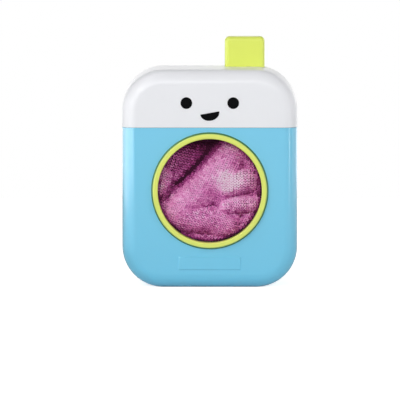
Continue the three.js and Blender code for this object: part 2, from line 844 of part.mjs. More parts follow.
// The rack: its teeth face the pinion, its head is screwed up into the button, its foot sits on the spring
function makeRack() {
  const pitch = Math.PI * rackAddendum;
  const slope = Math.tan(pressureAngle);
  const rootLine = rackPitchLine + dedendumShare * rackAddendum;
  const tipLine = rackPitchLine - rackAddendum;
  const pitchHalf = pitch / 4 - toothThinning / 2;
  const tipHalf = pitchHalf - rackAddendum * slope;
  const rootHalf = pitchHalf + dedendumShare * rackAddendum * slope;
  const points = [
    [rackBack, rackBase],
    [rackBack, rackHeadHeight + rackHeadThickness / 2],
    [rootLine, rackHeadHeight + rackHeadThickness / 2],
  ];
  const highest = Math.floor((rackToothTop - driveHeight) / pitch - 0.5);
  const lowest = Math.ceil((rackBase + rootHalf - driveHeight) / pitch - 0.5);
  for (let i = highest; i >= lowest; i -= 1) {
    const centre = driveHeight + (i + 0.5) * pitch;
    points.push([rootLine, centre + rootHalf]);
    points.push([tipLine, centre + tipHalf]);
    points.push([tipLine, centre - tipHalf]);
    points.push([rootLine, centre - rootHalf]);
  }
  points.push([rootLine, rackBase]);
  const stem = frontPrism(polygonOutline(points), pinionFront, pinionBack);
  const head = planPrism(
    buttonOutline(-buttonWall - rackHeadGap),
    rackHeadHeight,
    rackHeadHeight + rackHeadThickness,
    1,
  );
  const spigot = rodAlongZ(buttonCentre, buttonY, springPostRadius, rackBase - springSpigot, rackBase + overrun);
  const holes = [-rackScrewSpread, rackScrewSpread].map((offset) =>
    rodAlongZ(
      buttonCentre + offset,
      buttonY,
      screwBore,
      rackHeadHeight - overrun,
      rackHeadHeight + rackHeadThickness + overrun,
    ),
  );
  return cut(join(stem, head, spigot), ...holes);
}

// The return spring: one unbroken wire from the ledge up to the rack's foot
function makeSpring() {
  const stepsPerTurn = 8;
  const sides = 4;
  const low = springBase + endGap + springWire;
  const high = rackBase - endGap - springWire;
  const steps = springTurns * stepsPerTurn;
  const positions = [];
  const index = [];
  for (let i = 0; i <= steps; i += 1) {
    const turn = (i / stepsPerTurn) * 2 * Math.PI;
    const height = low + ((high - low) * i) / steps;
    for (let j = 0; j < sides; j += 1) {
      const around = (j * 2 * Math.PI) / sides;
      const reach = springRadius + springWire * Math.cos(around);
      positions.push(buttonCentre + reach * Math.cos(turn));
      positions.push(buttonY + reach * Math.sin(turn));
      positions.push(height + springWire * Math.sin(around));
    }
  }
  for (let i = 0; i < steps; i += 1) {
    for (let j = 0; j < sides; j += 1) {
      const a = i * sides + j;
      const b = i * sides + ((j + 1) % sides);
      index.push(a, a + sides, b, b, a + sides, b + sides);
    }
  }
  for (let j = 1; j < sides - 1; j += 1) {
    const last = steps * sides;
    index.push(0, j, j + 1);
    index.push(last, last + j + 1, last + j);
  }
  const geometry = new THREE.BufferGeometry();
  geometry.setAttribute("position", new THREE.BufferAttribute(new Float32Array(positions), 3));
  geometry.setIndex(index);
  return solid(geometry);
}

// A screw along Y, its head's underside at the seat and its shank towards the front or, turned, the back
function makeScrew(x, z, seat, length, direction = 1) {
  const head = seat + direction * screwHeadHeight;
  const profile = [
    [0, seat - direction * length],
    [screwShank * 0.5, seat - direction * length],
    [screwShank, seat - direction * (length - screwShank)],
    [screwShank, seat],
    [screwHead, seat],
    [screwHead, seat + direction * screwHeadHeight * 0.5],
    [screwHead * 0.6, head],
    [0, head],
  ];
  return turned(profile, x, z, screwSides);
}

// A rack screw stands upright, its head below the rack's head
function makeRackScrew(side) {
  const upright = geometryOf(makeScrew(0, 0, 0, rackScrewLength)).rotateX(-Math.PI / 2);
  const seat = rackHeadHeight - runningGap;
  return solid(upright.translate(buttonCentre + side * rackScrewSpread, buttonY, seat));
}

// The stuffed knit cloth. Each fold: centre across and up, heading in turns, half length, half width and
// rise, in shares of the cloth's radius but for the heading, and of the rise of its folds for the last.
const foldShares = [
  [-0.5, 0.58, 0.13, 0.62, 0.13, -0.34],
  [-0.04, 0.48, 0.16, 0.62, 0.3, 0.26],
  [-0.72, 0.5, 0.13, 0.5, 0.2, 0.1],
  [0.3, 0.36, 0.09, 0.34, 0.09, -0.16],
  [0.45, 0.22, -0.03, 0.34, 0.17, 0.24],
  [0.52, -0.1, 0, 0.42, 0.07, -0.18],
  [0.5, -0.27, -0.02, 0.45, 0.11, 0.14],
  [-0.4, -0.12, 0.08, 0.5, 0.09, -0.2],
  [-0.3, -0.36, 0.06, 0.6, 0.2, 0.24],
  [0.1, -0.62, -0.06, 0.6, 0.09, -0.2],
  [0.2, -0.82, -0.05, 0.6, 0.15, 0.12],
];
const restShare = 0.3;

function foldRise(across, up) {
  return foldShares.reduce((sum, [x, z, heading, length, width, rise]) => {
    const angle = heading * 2 * Math.PI;
    const along = (across - x) * Math.cos(angle) + (up - z) * Math.sin(angle);
    const aside = (up - z) * Math.cos(angle) - (across - x) * Math.sin(angle);
    return sum + rise * Math.exp(-((along / length) ** 4) - (aside / width) ** 2);
  }, 0);
}

function makeCloth() {
  const back = drumFloor - runningGap - screwHeadHeight - clothBackGap;
  const front = drumRim + clothFrontGap;
  const middle = (front + back) / 2;
  const ringShares = [0.12, 0.24, 0.36, 0.47, 0.58, 0.68, 0.77, 0.85, 0.92, 0.97];
  const sideShares = [
    [1, 0.7],
    [1, -0.6],
    [0.95, -0.95],
    [0.6, -1],
  ];
  const count = roundSides;
  const surface = (across, up) => {
    const outward = Math.hypot(across, up);
    const sunk = clothRimRise * outward ** 10 + clothRise * (restShare - foldRise(across, up));
    return front + Math.max(0, sunk);
  };
  const positions = [0, surface(0, 0), drumHeight];
  ringShares.forEach((share) => {
    for (let i = 0; i < count; i += 1) {
      const angle = (i * 2 * Math.PI) / count;
      const across = share * Math.cos(angle);
      const up = share * Math.sin(angle);
      positions.push(across * clothRadius, surface(across, up), drumHeight + up * clothRadius);
    }
  });
  sideShares.forEach(([share, towardsFront]) => {
    for (let i = 0; i < count; i += 1) {
      const angle = (i * 2 * Math.PI) / count;
      const end = towardsFront > 0 ? surface(Math.cos(angle), Math.sin(angle)) : back;
      const depth = middle + (end - middle) * Math.abs(towardsFront);
      const reach = share * clothRadius;
      positions.push(reach * Math.cos(angle), depth, drumHeight + reach * Math.sin(angle));
    }
  });
  positions.push(0, back, drumHeight);
  const rings = ringShares.length + sideShares.length;
  const last = rings * count + 1;
  const index = [];
  for (let i = 0; i < count; i += 1) {
    const next = (i + 1) % count;
    index.push(0, 1 + next, 1 + i);
    for (let ring = 0; ring < rings - 1; ring += 1) {
      const a = 1 + ring * count;
      const b = a + count;
      index.push(a + i, a + next, b + i, b + i, a + next, b + next);
    }
    const end = 1 + (rings - 1) * count;
    index.push(last, end + i, end + next);
  }
  const geometry = new THREE.BufferGeometry();
  geometry.setAttribute("position", new THREE.BufferAttribute(new Float32Array(positions), 3));
  geometry.setIndex(index);
  return cut(solid(geometry), ...lifters(clothLifterGap, drumBack));
}

// Finishes
const finish = (color, roughness, metalness = 0) => new THREE.MeshStandardMaterial({ color, roughness, metalness });
const blue = finish(0x7bc9e7, 0.28);
const white = finish(0xe8ebf2, 0.25);
const lime = finish(0xe1ee6e, 0.3);
const black = finish(0x0f1214, 0.5);
const drumWhite = finish(0xe6e8ec, 0.45);
const knit = finish(0xb0638f, 0.95);
const acetal = finish(0xf1efe6, 0.5);
const chassisGrey = finish(0x8f969c, 0.6);
const rackYellow = finish(0xf2d23c, 0.45);
const steel = finish(0xb9bdc2, 0.3, 1);

const washingMachine = new THREE.Group();

function add(name, manifold, material) {
  const mesh = new THREE.Mesh(geometryOf(manifold), material);
  mesh.name = name;
  washingMachine.add(mesh);
}

function addScrews(name, places, seat, length) {
  places.forEach(([x, z], i) => add(`${name}_${i + 1}`, makeScrew(x, z, seat + runningGap, length), steel));
}

add("front_shell", makeFrontShell(), blue);
add("rear_shell", makeRearShell(), blue);
add("top_hood", makeHood(), white);
add("porthole_ring", makeRing(), lime);
add("left_eye", makeEye(-1), black);
add("right_eye", makeEye(1), black);
add("mouth", makeMouth(), black);
add("drum", makeDrum(), drumWhite);
add("knit_cloth", makeCloth(), knit);
add("drum_shaft", makeDrumShaft(), steel);
add("drum_gear", makeDrumGear(), acetal);
add("plate_bush", makeBush(plateFront, plateBack), acetal);
add("cover_bush", makeBush(coverFront, coverBack), acetal);
add("thrust_washer", makeWasher(), acetal);
add("shaft_clip", makeClip(), steel);
add("gear_plate", makeGearPlate(), chassisGrey);
add("drive_gear", makeDriveGear(), acetal);
add("gear_axle", makeGearAxle(), steel);
add("gearbox_cover", makeGearboxCover(), chassisGrey);
add("push_button", makeButton(), lime);
add("button_rack", makeRack(), rackYellow);
add("return_spring", makeSpring(), steel);
addScrews("case_screw", caseScrewPlaces, columnFront + wellFloor, caseScrewLength);
addScrews("hood_screw", hoodScrewPlaces, hoodColumnFront + wellFloor, hoodScrewLength);
addScrews("plate_screw", plateScrewPlaces, plateBack, plateScrewLength);
addScrews("cover_screw", coverScrewPlaces, coverBack, coverScrewLength);
add("rack_screw_1", makeRackScrew(-1), steel);
add("rack_screw_2", makeRackScrew(1), steel);
add("drum_screw", makeScrew(0, drumHeight, drumFloor - runningGap, drumScrewLength, -1), steel);

export default washingMachine;
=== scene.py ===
import math

import bpy
import bmesh
import numpy as np
from mathutils import Matrix, Vector


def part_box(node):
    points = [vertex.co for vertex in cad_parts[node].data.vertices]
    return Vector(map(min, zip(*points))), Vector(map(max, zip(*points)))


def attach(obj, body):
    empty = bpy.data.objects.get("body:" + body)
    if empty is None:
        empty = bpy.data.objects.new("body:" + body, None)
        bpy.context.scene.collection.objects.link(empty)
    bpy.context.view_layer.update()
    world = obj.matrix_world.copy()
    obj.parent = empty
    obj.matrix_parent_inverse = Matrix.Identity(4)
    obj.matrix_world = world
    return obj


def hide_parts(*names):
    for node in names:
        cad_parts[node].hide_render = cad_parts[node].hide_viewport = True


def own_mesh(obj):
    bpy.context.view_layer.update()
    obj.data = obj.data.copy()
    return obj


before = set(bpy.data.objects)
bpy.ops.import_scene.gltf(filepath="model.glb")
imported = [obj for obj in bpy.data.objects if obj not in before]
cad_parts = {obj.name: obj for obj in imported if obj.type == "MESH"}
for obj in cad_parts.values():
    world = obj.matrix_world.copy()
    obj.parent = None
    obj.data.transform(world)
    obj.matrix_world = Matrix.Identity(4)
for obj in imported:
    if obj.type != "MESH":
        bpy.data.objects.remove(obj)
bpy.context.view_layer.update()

# Camera
# A long lens far in front of the toy and a few degrees above it. It is aimed a little to the left of the
# middle of the case and below it.
scene = bpy.context.scene
scene.view_settings.view_transform = "Standard"


def placed(name, data):
    thing = bpy.data.objects.new(name, data)
    scene.collection.objects.link(thing)
    return thing


aim = Vector((-0.0068, -0.0315, 0.0616))
camera_distance = 4.0
camera_azimuth = math.radians(0.1)
camera_elevation = math.radians(4.9)
camera_data = bpy.data.cameras.new("camera")
camera_data.lens = 517.2
camera = placed("camera", camera_data)
towards_camera = Vector(
    (
        math.sin(camera_azimuth) * math.cos(camera_elevation),
        -math.cos(camera_azimuth) * math.cos(camera_elevation),
        math.sin(camera_elevation),
    )
)
camera.location = aim + camera_distance * towards_camera
camera.rotation_euler = (-towards_camera).to_track_quat("-Z", "Y").to_euler()
scene.camera = camera

# Studio light
# Seven soft boxes in a pale room: a key box on the upper left, a wide one beside the toy, a long low one in
# front and a small one overhead, and on the right a narrow strip, a broad box and a broad one behind.
case_middle = Vector((0, 0, 0.076))


def soft_box(name, place, width, height, power):
    data = bpy.data.lights.new(name, "AREA")
    data.shape = "RECTANGLE"
    data.size = width
    data.size_y = height
    data.energy = power
    lamp = placed(name, data)
    lamp.location = place
    lamp.rotation_euler = (case_middle - Vector(place)).to_track_quat("-Z", "Y").to_euler()


soft_box("key_soft_box", (-0.75, -1.0, 0.85), 0.85, 0.85, 5.6)
soft_box("left_soft_box", (-0.89, -0.16, 0.25), 1.5, 1.0, 0.9)
soft_box("front_top_soft_box", (-0.08, -1.03, 0.50), 1.2, 0.12, 3.4)
soft_box("overhead_soft_box", (-0.1, -0.1, 1.2), 0.8, 0.6, 0.25)
soft_box("right_strip", (0.79, -0.57, 0.2), 0.05, 0.8, 1.2)
soft_box("right_soft_box", (1.1, 0.1, 0.2), 0.8, 0.8, 1.6)
soft_box("rear_soft_box", (0.7, 0.85, 0.35), 0.8, 0.8, 2.7)


def set_inputs(node, *ordered, **named):
    """Gives inputs, in order or by name (with _ for a space), a value or the output of another node."""
    for label, value in (*enumerate(ordered), *named.items()):
        socket = node.inputs[label.replace("_", " ") if isinstance(label, str) else label]
        if isinstance(value, tuple) and isinstance(value[0], bpy.types.Node):
            node.id_data.links.new(value[0].outputs[value[1]], socket)
        else:
            socket.default_value = value


def add_node(tree, kind, *ordered, how=None, **named):
    """A new node with its settings and inputs; a kind without "Node" in its name is one of the tree's own."""
    node = tree.nodes.new(kind if "Node" in kind else tree.bl_idname.removesuffix("Tree") + kind)
    for name, value in (how or {}).items():
        setattr(node, name, value)
    set_inputs(node, *ordered, **named)
    return node


def colour_steps(ramp, tones):
    """The stops of a colour ramp, from their places and colours."""
    stops = ramp.color_ramp.elements
    while len(stops) < len(tones):
        stops.new(0.5)
    for stop, (share, colour) in zip(stops, tones):
        stop.position = share
        stop.color = colour


room_strength = 0.27
bright_up_to = 0.08
dim_from = 0.36
low_brightness = 4.8
high_brightness = 1.8
white = (1, 1, 1, 1)
smooth_step = {"interpolation_type": "SMOOTHSTEP"}
world = bpy.data.worlds.new("pale_room")
world.use_nodes = True
scene.world = world
tree = world.node_tree
tree.nodes.clear()
rays = add_node(tree, "LightPath")
room = add_node(tree, "Background", Color=white, Strength=room_strength)
backdrop = add_node(tree, "Background", Color=white, Strength=1.0)
# shiny surfaces mirror a bright wall on the left and a greyer one on the right, both brighter low down
way = add_node(tree, "TexCoord")
axes = add_node(tree, "SeparateXYZ", (way, "Generated"))
to_front = add_node(tree, "Math", (axes, "Y"), -1.0, how={"operation": "MULTIPLY"})
bearing = add_node(tree, "Math", (axes, "X"), (to_front, 0), how={"operation": "ARCTAN2"})
turn_range = add_node(tree, "MapRange", Value=(bearing, 0), From_Min=-math.pi, From_Max=math.pi)
# bearings in degrees from the front, positive to the right
left_tones = [(-180, 0.33), (-145, 0.27), (-115, 0.5), (-90, 0.95), (-45, 1.0), (-26, 0.9), (-20, 0.2)]
right_tones = [(40, 0.18), (90, 0.12), (130, 0.1), (168, 0.14), (180, 0.34)]
walls = add_node(tree, "ValToRGB", Fac=(turn_range, "Result"))
wall_tones = left_tones + right_tones
colour_steps(walls, [((turn + 180) / 360, (tone, tone, tone, 1)) for turn, tone in wall_tones])
fade = add_node(tree, "MapRange", how=smooth_step, Value=(axes, "Z"))
set_inputs(fade, From_Min=bright_up_to, From_Max=dim_from, To_Min=low_brightness, To_Max=high_brightness)
mirrored = add_node(tree, "Background", Color=(walls, "Color"), Strength=(fade, "Result"))
seen = add_node(tree, "Math", (rays, "Is Camera Ray"), how={"operation": "MAXIMUM"})
tree.links.new(rays.outputs["Is Transmission Ray"], seen.inputs[1])
shiny = add_node(tree, "MixShader", (rays, "Is Glossy Ray"), (room, 0), (mirrored, 0))
either = add_node(tree, "MixShader", (seen, 0), (shiny, 0), (backdrop, 0))
add_node(tree, "OutputWorld", Surface=(either, 0))

# Floor
# A plain pale table that keeps the toy's soft shadow.
floor_reach = 0.7
floor_glow = 0.75
floor_corners = [(x * floor_reach, y * floor_reach, 0.0) for x, y in ((-1, -1), (1, -1), (1, 1), (-1, 1))]
floor_mesh = bpy.data.meshes.new("floor")
floor_mesh.from_pydata(floor_corners, [], [(0, 1, 2, 3)])
floor = placed("floor", floor_mesh)


def new_paint(name, **values):
    """A new material, its tree and its surface, which gets the values."""
    paint = bpy.data.materials.new(name)
    paint.use_nodes = True
    surface = paint.node_tree.nodes["Principled BSDF"]
    set_inputs(surface, **values)
    return paint, paint.node_tree, surface


floor_paint, tree, surface = new_paint(
    "pale_table",
    Base_Color=(0.75, 0.75, 0.75, 1),
    Roughness=0.9,
    Specular_IOR_Level=0.1,
    Emission_Color=white,
)
rays = add_node(tree, "LightPath")
lift = add_node(tree, "Math", (rays, "Is Camera Ray"), floor_glow, how={"operation": "MULTIPLY"})
set_inputs(surface, Emission_Strength=(lift, 0))
floor_mesh.materials.append(floor_paint)

# Case: front shell, rear shell and top hood
# Three glossy mouldings 2.5 mm thick that share one rounded outer skin. The front and rear shells meet at a
# lip and are held by four screws from behind. The white hood sits on both like a lid, held by two more.
hood_low, hood_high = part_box("top_hood")
rear_low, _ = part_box("rear_shell")
shell_low, shell_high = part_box("front_shell")
drum_low, drum_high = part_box("drum")
button_low, button_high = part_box("push_button")
front_face = hood_low.y
back_face = hood_high.y
half_width = hood_high.x
case_top = hood_high.z
half_gap = 0.0001
seam_height = shell_high.z + half_gap
parting = rear_low.y - half_gap
drum_height = (drum_low.z + drum_high.z) / 2
case_corner = 0.0285
case_edge = 0.010
corner_steps = 20
edge_steps = 10
wall = 0.0025
far_out = 0.3


def rounded_outline(sides, radius, steps, inset=0.0):
    """A round-cornered outline from its left, right, low and high sides, smaller all round by the inset."""
    left, right, low, high = sides
    left, right, low, high = left + inset, right - inset, low + inset, high - inset
    radius = max(radius - inset, 1e-5)
    corners = [
        (right - radius, low + radius, -90),
        (right - radius, high - radius, 0),
        (left + radius, high - radius, 90),
        (left + radius, low + radius, 180),
    ]
    points = []
    for across, up, start in corners:
        for step in range(steps + 1):
            angle = math.radians(start + 90 * step / steps)
            points.append((across + radius * math.cos(angle), up + radius * math.sin(angle)))
    return points


def made(name, vertices, faces):
    """A piece whose doubled points are joined and whose faces point outwards."""
    mesh = bpy.data.meshes.new(name)
    mesh.from_pydata(vertices, [], faces)
    shape = bmesh.new()
    shape.from_mesh(mesh)
    bmesh.ops.remove_doubles(shape, verts=shape.verts, dist=1e-7)
    bmesh.ops.dissolve_degenerate(shape, edges=shape.edges, dist=1e-7)
    bmesh.ops.recalc_face_normals(shape, faces=shape.faces)
    shape.to_mesh(mesh)
    shape.free()
    return placed(name, mesh)


def lofted(name, loops, ends=True):
    """A closed skin over loops of as many points each: it has flat ends, or the last loop joins the first."""
    count = len(loops[0])
    vertices = [point for loop in loops for point in loop]
    faces = [tuple(range(count)), tuple(range(len(vertices) - count, len(vertices)))] if ends else []
    for row in range(len(loops) - 1 if ends else len(loops)):
        here, there = row * count, (row + 1) % len(loops) * count
        for i in range(count):
            j = (i + 1) % count
            faces.append((here + i, here + j, there + j, there + i))
    return made(name, vertices, faces)


def stepped(name, sides, corner, round_corner, levels):
    """A block whose outline has another inset at each depth."""
    outlines = [(rounded_outline(sides, corner, round_corner, inset), depth) for inset, depth in levels]
    return lofted(name, [[(x, depth, z) for x, z in outline] for outline, depth in outlines])


def rounded_block(name, sides, corner, near, far, edge, round_corner, round_edge):
    """A block with round corners as seen from the front, and round edges to its front and back faces."""
    turns = [i / round_edge * math.pi / 2 for i in range(round_edge + 1)]
    levels = [(edge * (1 - math.sin(turn)), near + edge * (1 - math.cos(turn))) for turn in turns]
    levels += [(inset, near + far - depth) for inset, depth in reversed(levels)]
    return stepped(name, sides, corner, round_corner, levels)


def upright(outline, near, far):
    return lofted("tool", [[(x, y, z) for x, z in outline] for y in (near, far)])


def standing(outline, low, high):
    return lofted("tool", [[(x, y, z) for x, y in outline] for z in (low, high)])


def box(left=-far_out, right=far_out, near=-far_out, far=far_out, low=-far_out, high=far_out):
    """A plain block, which goes far out on each side that isn't given."""
    return upright([(left, low), (right, low), (right, high), (left, high)], near, far)


def oval(across, up, half_wide, half_high, sides):
    turns = [i * 2 * math.pi / sides for i in range(sides)]
    return [(across + half_wide * math.cos(turn), up + half_high * math.sin(turn)) for turn in turns]


def rod(x, z, radius, near, far, sides=40):
    return upright(oval(x, z, radius, radius, sides), near, far)


def turned(profile, x, z, sides=48, name="tool"):
    """A profile of radii and depths, turned about an axis that runs from front to back."""
    circle = oval(0, 0, 1, 1, sides)
    loops = [[(x + out * across, y, z + out * up) for out, y in profile] for across, up in circle]
    return lofted(name, loops, ends=False)


def frozen(piece):
    """The piece with what its modifiers make of it as its own mesh."""
    bpy.context.view_layer.update()
    result = bpy.data.meshes.new_from_object(piece.evaluated_get(bpy.context.evaluated_depsgraph_get()))
    piece.modifiers.clear()
    piece.data = result
    return piece


def combined(piece, operation, *tools):
    for tool in tools:
        modifier = piece.modifiers.new("shape", "BOOLEAN")
        modifier.operation = operation
        modifier.solver = "MANIFOLD"
        modifier.object = tool
        frozen(piece)
        bpy.data.objects.remove(tool)
    return piece


def named_copy(piece, name):
    return placed(name, piece.data.copy())


def softly_shaded(piece, sharp_degrees=32):
    piece.data.shade_smooth()
    piece.data.set_sharp_from_angle(angle=math.radians(sharp_degrees))
    normals = piece.modifiers.new("even_flats", "WEIGHTED_NORMAL")
    normals.keep_sharp = True
    return piece


def case_form(name, inset):
    """The case's rounded form, smaller by the inset on every side."""
    sides = (inset - half_width, half_width - inset, inset, case_top - inset)
    near, far = front_face + inset, back_face - inset
    corner, edge = case_corner - inset, case_edge - inset
    return rounded_block(name, sides, corner, near, far, edge, corner_steps, edge_steps)


skin = case_form("skin", 0.0)
whole = named_copy(skin, "whole")
combined(skin, "DIFFERENCE", case_form("hollow", wall))
front_outline = ((-half_width, half_width, 0.0, case_top), case_corner, corner_steps)
top_outline = ((-half_width, half_width, front_face, back_face), case_edge, edge_steps)


def band(outline, extruded, outer, inner, start, end):
    """A band between two insets of one of the case's outlines."""
    blank = extruded(rounded_outline(*outline, outer), start, end)
    return combined(blank, "DIFFERENCE", extruded(rounded_outline(*outline, inner), start - wall, end + wall))


# the front shell, with a lip that reaches into the rear shell and a shallow groove at the parting
lip_gap = 0.0003
lip_wall = 0.0012
lip_inner = wall + lip_gap + lip_wall
lip_shoulder = 0.001
lip_root = parting - 0.004
lip_end = parting + 0.0025
lip_top = seam_height - 0.0045
groove_depth = 0.0007
groove_end = parting + half_gap * 0.8
lower_skin = combined(named_copy(skin, "lower_skin"), "INTERSECT", box(high=seam_height - half_gap))
front_shell = named_copy(lower_skin, "front_shell_moulding")
combined(front_shell, "INTERSECT", box(far=parting - half_gap))
for outer, inner, near, far in (
    (wall + lip_gap, lip_inner, lip_root, lip_end),
    (wall - lip_gap, lip_inner, lip_root, parting - lip_shoulder),
    (groove_depth, wall + lip_gap, parting - lip_shoulder, groove_end),
):
    lip = band(front_outline, upright, outer, inner, near, far)
    combined(front_shell, "UNION", combined(lip, "INTERSECT", box(high=lip_top)))

# its bosses, each with its place, radius, end and the depth of its bore
bore = 0.0016
case_screws = [(-0.042, 0.019), (0.042, 0.019), (-0.0465, 0.102), (0.0465, 0.102)]
plate_screws = [(-0.042, 0.046), (0.042, 0.046), (-0.042, 0.090), (0.042, 0.090)]
bosses = [(place, 0.004, parting - half_gap, 0.012) for place in case_screws]
bosses += [(place, 0.0035, 0.0052, 0.010) for place in plate_screws]
for (x, z), radius, end, depth in bosses:
    boss = rod(x, z, radius, front_face + wall / 2, end)
    combined(boss, "DIFFERENCE", rod(x, z, bore, end - depth, end + wall))
    combined(front_shell, "UNION", boss)
porthole_radius = 0.0388
porthole_sides = 160
porthole = rod(0, drum_height, porthole_radius, front_face - wall, front_face + 2 * wall, porthole_sides)
combined(front_shell, "DIFFERENCE", porthole)

# its raised panel, blank
panel_sides = (-0.02185, 0.02185, 0.0125, 0.0221)
panel_corner = 0.0010
panel_bevel = 0.0008
panel_levels = [(panel_bevel, shell_low.y), (0, front_face), (0, front_face + wall / 2)]
combined(front_shell, "UNION", stepped("panel", panel_sides, panel_corner, 6, panel_levels))

# columns for the screws that are driven from behind, each with a flared well for the head
well_radius = 0.0034
well_wall = 0.0011
well_floor = 0.003
well_bevel = 0.0006
well_flare = 0.002
well_overrun = 0.0014


def screw_columns(piece, places, front):
    for x, z in places:
        combined(piece, "UNION", rod(x, z, well_radius + well_wall, front, back_face - wall / 2))
    for x, z in places:
        profile = [
            (0, front + well_floor),
            (well_radius, front + well_floor),
            (well_radius, back_face - well_bevel),
            (well_radius + well_flare, back_face + well_overrun),
            (0, back_face + well_overrun),
        ]
        combined(piece, "DIFFERENCE", turned(profile, x, z), rod(x, z, bore, front - wall, back_face))


rear_shell = combined(lower_skin, "INTERSECT", box(near=parting + half_gap))
rear_shell.name = "rear_shell_moulding"
screw_columns(rear_shell, case_screws, parting + half_gap)

# the hood, with a lip that reaches down into both shells and a slot with a skirt for the push button
hood_lip_root = seam_height + 0.005
hood_lip_end = seam_height - 0.0035
hood_screws = [(-0.0415, 0.117), (0.0415, 0.117)]
hood_column_front = 0.0083
button_centre = 0.0245
button_y = (button_low.y + button_high.y) / 2
button_half_width = 0.014
button_half_depth = 0.007
button_left = button_centre - button_half_width
button_right = button_centre + button_half_width
button_front = button_y - button_half_depth
button_back = button_y + button_half_depth
button_edge = 0.0028
slot_gap = 0.0004
slot_wall = 0.002
slot_base = button_low.z + 0.0033
slot_top = case_top + wall


def button_column(outset, low, high):
    """A column with the button's outline as seen from above, larger all round by the outset."""
    sides = (button_left, button_right, button_front, button_back)
    return standing(rounded_outline(sides, button_edge, 8, -outset), low, high)


hood = combined(skin, "INTERSECT", box(low=seam_height + half_gap))
hood.name = "top_hood_moulding"
combined(
    hood,
    "UNION",
    band(top_outline, standing, wall + lip_gap, lip_inner, hood_lip_end, hood_lip_root),
    band(top_outline, standing, wall - lip_gap, lip_inner, seam_height + lip_shoulder, hood_lip_root),
)
skirt = button_column(slot_gap + slot_wall, slot_base, slot_top)
combined(hood, "UNION", combined(skirt, "INTERSECT", whole))
screw_columns(hood, hood_screws, hood_column_front)
combined(hood, "DIFFERENCE", button_column(slot_gap, slot_base - wall, slot_top))


def linear(red, green, blue):
    """A colour for a material, from the values of 0 to 255 that a screen shows."""

    def one(value):
        value /= 255
        return value / 12.92 if value <= 0.04045 else ((value + 0.055) / 1.055) ** 2.4

    return (one(red), one(green), one(blue), 1.0)


mottle_size = 35.0
grain_depth = 0.0002
shinier = 0.97
duller = 1.04
cloud_range = {"From_Min": 0.2, "From_Max": 0.8}


def moulded(name, colour, roughness, grain=0.02, grain_size=900.0, mottle=0.03, coat=0.0):
    """A moulded plastic: faintly mottled in colour and polish, with a fine grain."""
    paint, tree, surface = new_paint(name, Coat_Weight=coat, Coat_Roughness=0.12)
    place = add_node(tree, "TexCoord")
    cloud = add_node(tree, "TexNoise", Vector=(place, "Object"), Scale=mottle_size, Detail=3.0)
    tone = add_node(tree, "MapRange", how=smooth_step, Value=(cloud, "Fac"), **cloud_range)
    set_inputs(tone, To_Min=1 - mottle, To_Max=1.0)
    tinted = add_node(tree, "Mix", how={"data_type": "RGBA", "blend_type": "MULTIPLY"})
    set_inputs(tinted, Factor=1.0, A=colour, B=(tone, "Result"))
    polish = add_node(tree, "MapRange", how=smooth_step, Value=(cloud, "Fac"), **cloud_range)
    set_inputs(polish, To_Min=roughness * shinier, To_Max=roughness * duller)
    fine = add_node(tree, "TexNoise", Vector=(place, "Object"), Scale=grain_size, Detail=2.0)
    bump = add_node(tree, "Bump", Strength=grain, Distance=grain_depth, Height=(fine, "Fac"))
    set_inputs(surface, Base_Color=(tinted, "Result"), Roughness=(polish, "Result"), Normal=(bump, "Normal"))
    return paint


def dressed(piece, paint, body, slot, *nodes):
    piece.data.materials.clear()
    piece.data.materials.append(paint)
    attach(piece, body)
    if nodes:
        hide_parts(*nodes)


sky_blue = moulded("sky_blue_plastic", linear(120, 212, 246), 0.29, mottle=0.004, coat=1.0)
white_plastic = moulded("white_plastic", linear(246, 247, 251), 0.34, mottle=0.002, coat=0.15)
dressed(softly_shaded(front_shell), sky_blue, "case", "blue_case", "front_shell")
dressed(softly_shaded(rear_shell), sky_blue, "case", "blue_case", "rear_shell")
dressed(softly_shaded(hood), white_plastic, "case", "white_hood", "top_hood")

# Porthole ring
# A fixed bezel in glossy lime plastic, turned from one profile: a flat lip, a steep outer wall and a spigot
# that six lugs hold behind the front shell.
ring_low, ring_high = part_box("porthole_ring")
bore_radius = 0.03625
ring_radius = 0.04085
ring_taper = 0.00115
wall_top = ring_radius - ring_taper
spigot_radius = 0.0385
ring_face = ring_low.y
spigot_end = ring_high.y
seat = front_face - 0.00005
inner_edge = 0.0009
outer_edge = 0.0007
foot_inset = 0.0003
foot_height = 0.0004
ring_steps = 180
# where the painted shade on the bezel's outer wall begins and where it is full, and its deeper green
wall_shade_start = wall_top - 0.0001
wall_shade_end = wall_top + 0.0003
wall_shade_green = linear(74, 122, 26)
lug_count = 6
lug_sides = (-0.0045, 0.0045, spigot_end - 0.0015, spigot_end, spigot_radius - 0.001, spigot_radius + 0.0014)


def arc(centre, depth, radius, start, end, steps=5):
    turns = [math.radians(start + (end - start) * i / steps) for i in range(steps + 1)]
    return [(centre + radius * math.cos(turn), depth + radius * math.sin(turn)) for turn in turns]


def about_drum(piece, turn):
    """A piece that was made on the origin's axis, turned about it and lifted to the drum's height."""
    piece.data.transform(Matrix.Translation((0, 0, drum_height)) @ Matrix.Rotation(turn, 4, "Y"))
    return piece


def tree_for(name, *sizes):
    """A new tree with these named inputs and, as the last one, the finish of what it makes."""
    tree = bpy.data.node_groups.new(name, "GeometryNodeTree")
    for label, kind, value in (("Geometry", "Geometry", None), *sizes, ("Finish", "Material", None)):
        socket = tree.interface.new_socket(label, in_out="INPUT", socket_type="NodeSocket" + kind)
        if value is not None:
            socket.default_value = value
    tree.interface.new_socket("Geometry", in_out="OUTPUT", socket_type="NodeSocketGeometry")
    return tree, add_node(tree, "NodeGroupInput")


def finish_tree(tree, sizes, result):
    """The end of a tree: its result becomes a real mesh and gets its finish."""
    real = add_node(tree, "RealizeInstances", Geometry=result)
    coated = add_node(tree, "SetMaterial", Geometry=(real, "Geometry"), Material=(sizes, "Finish"))
    add_node(tree, "NodeGroupOutput", Geometry=(coated, "Geometry"))


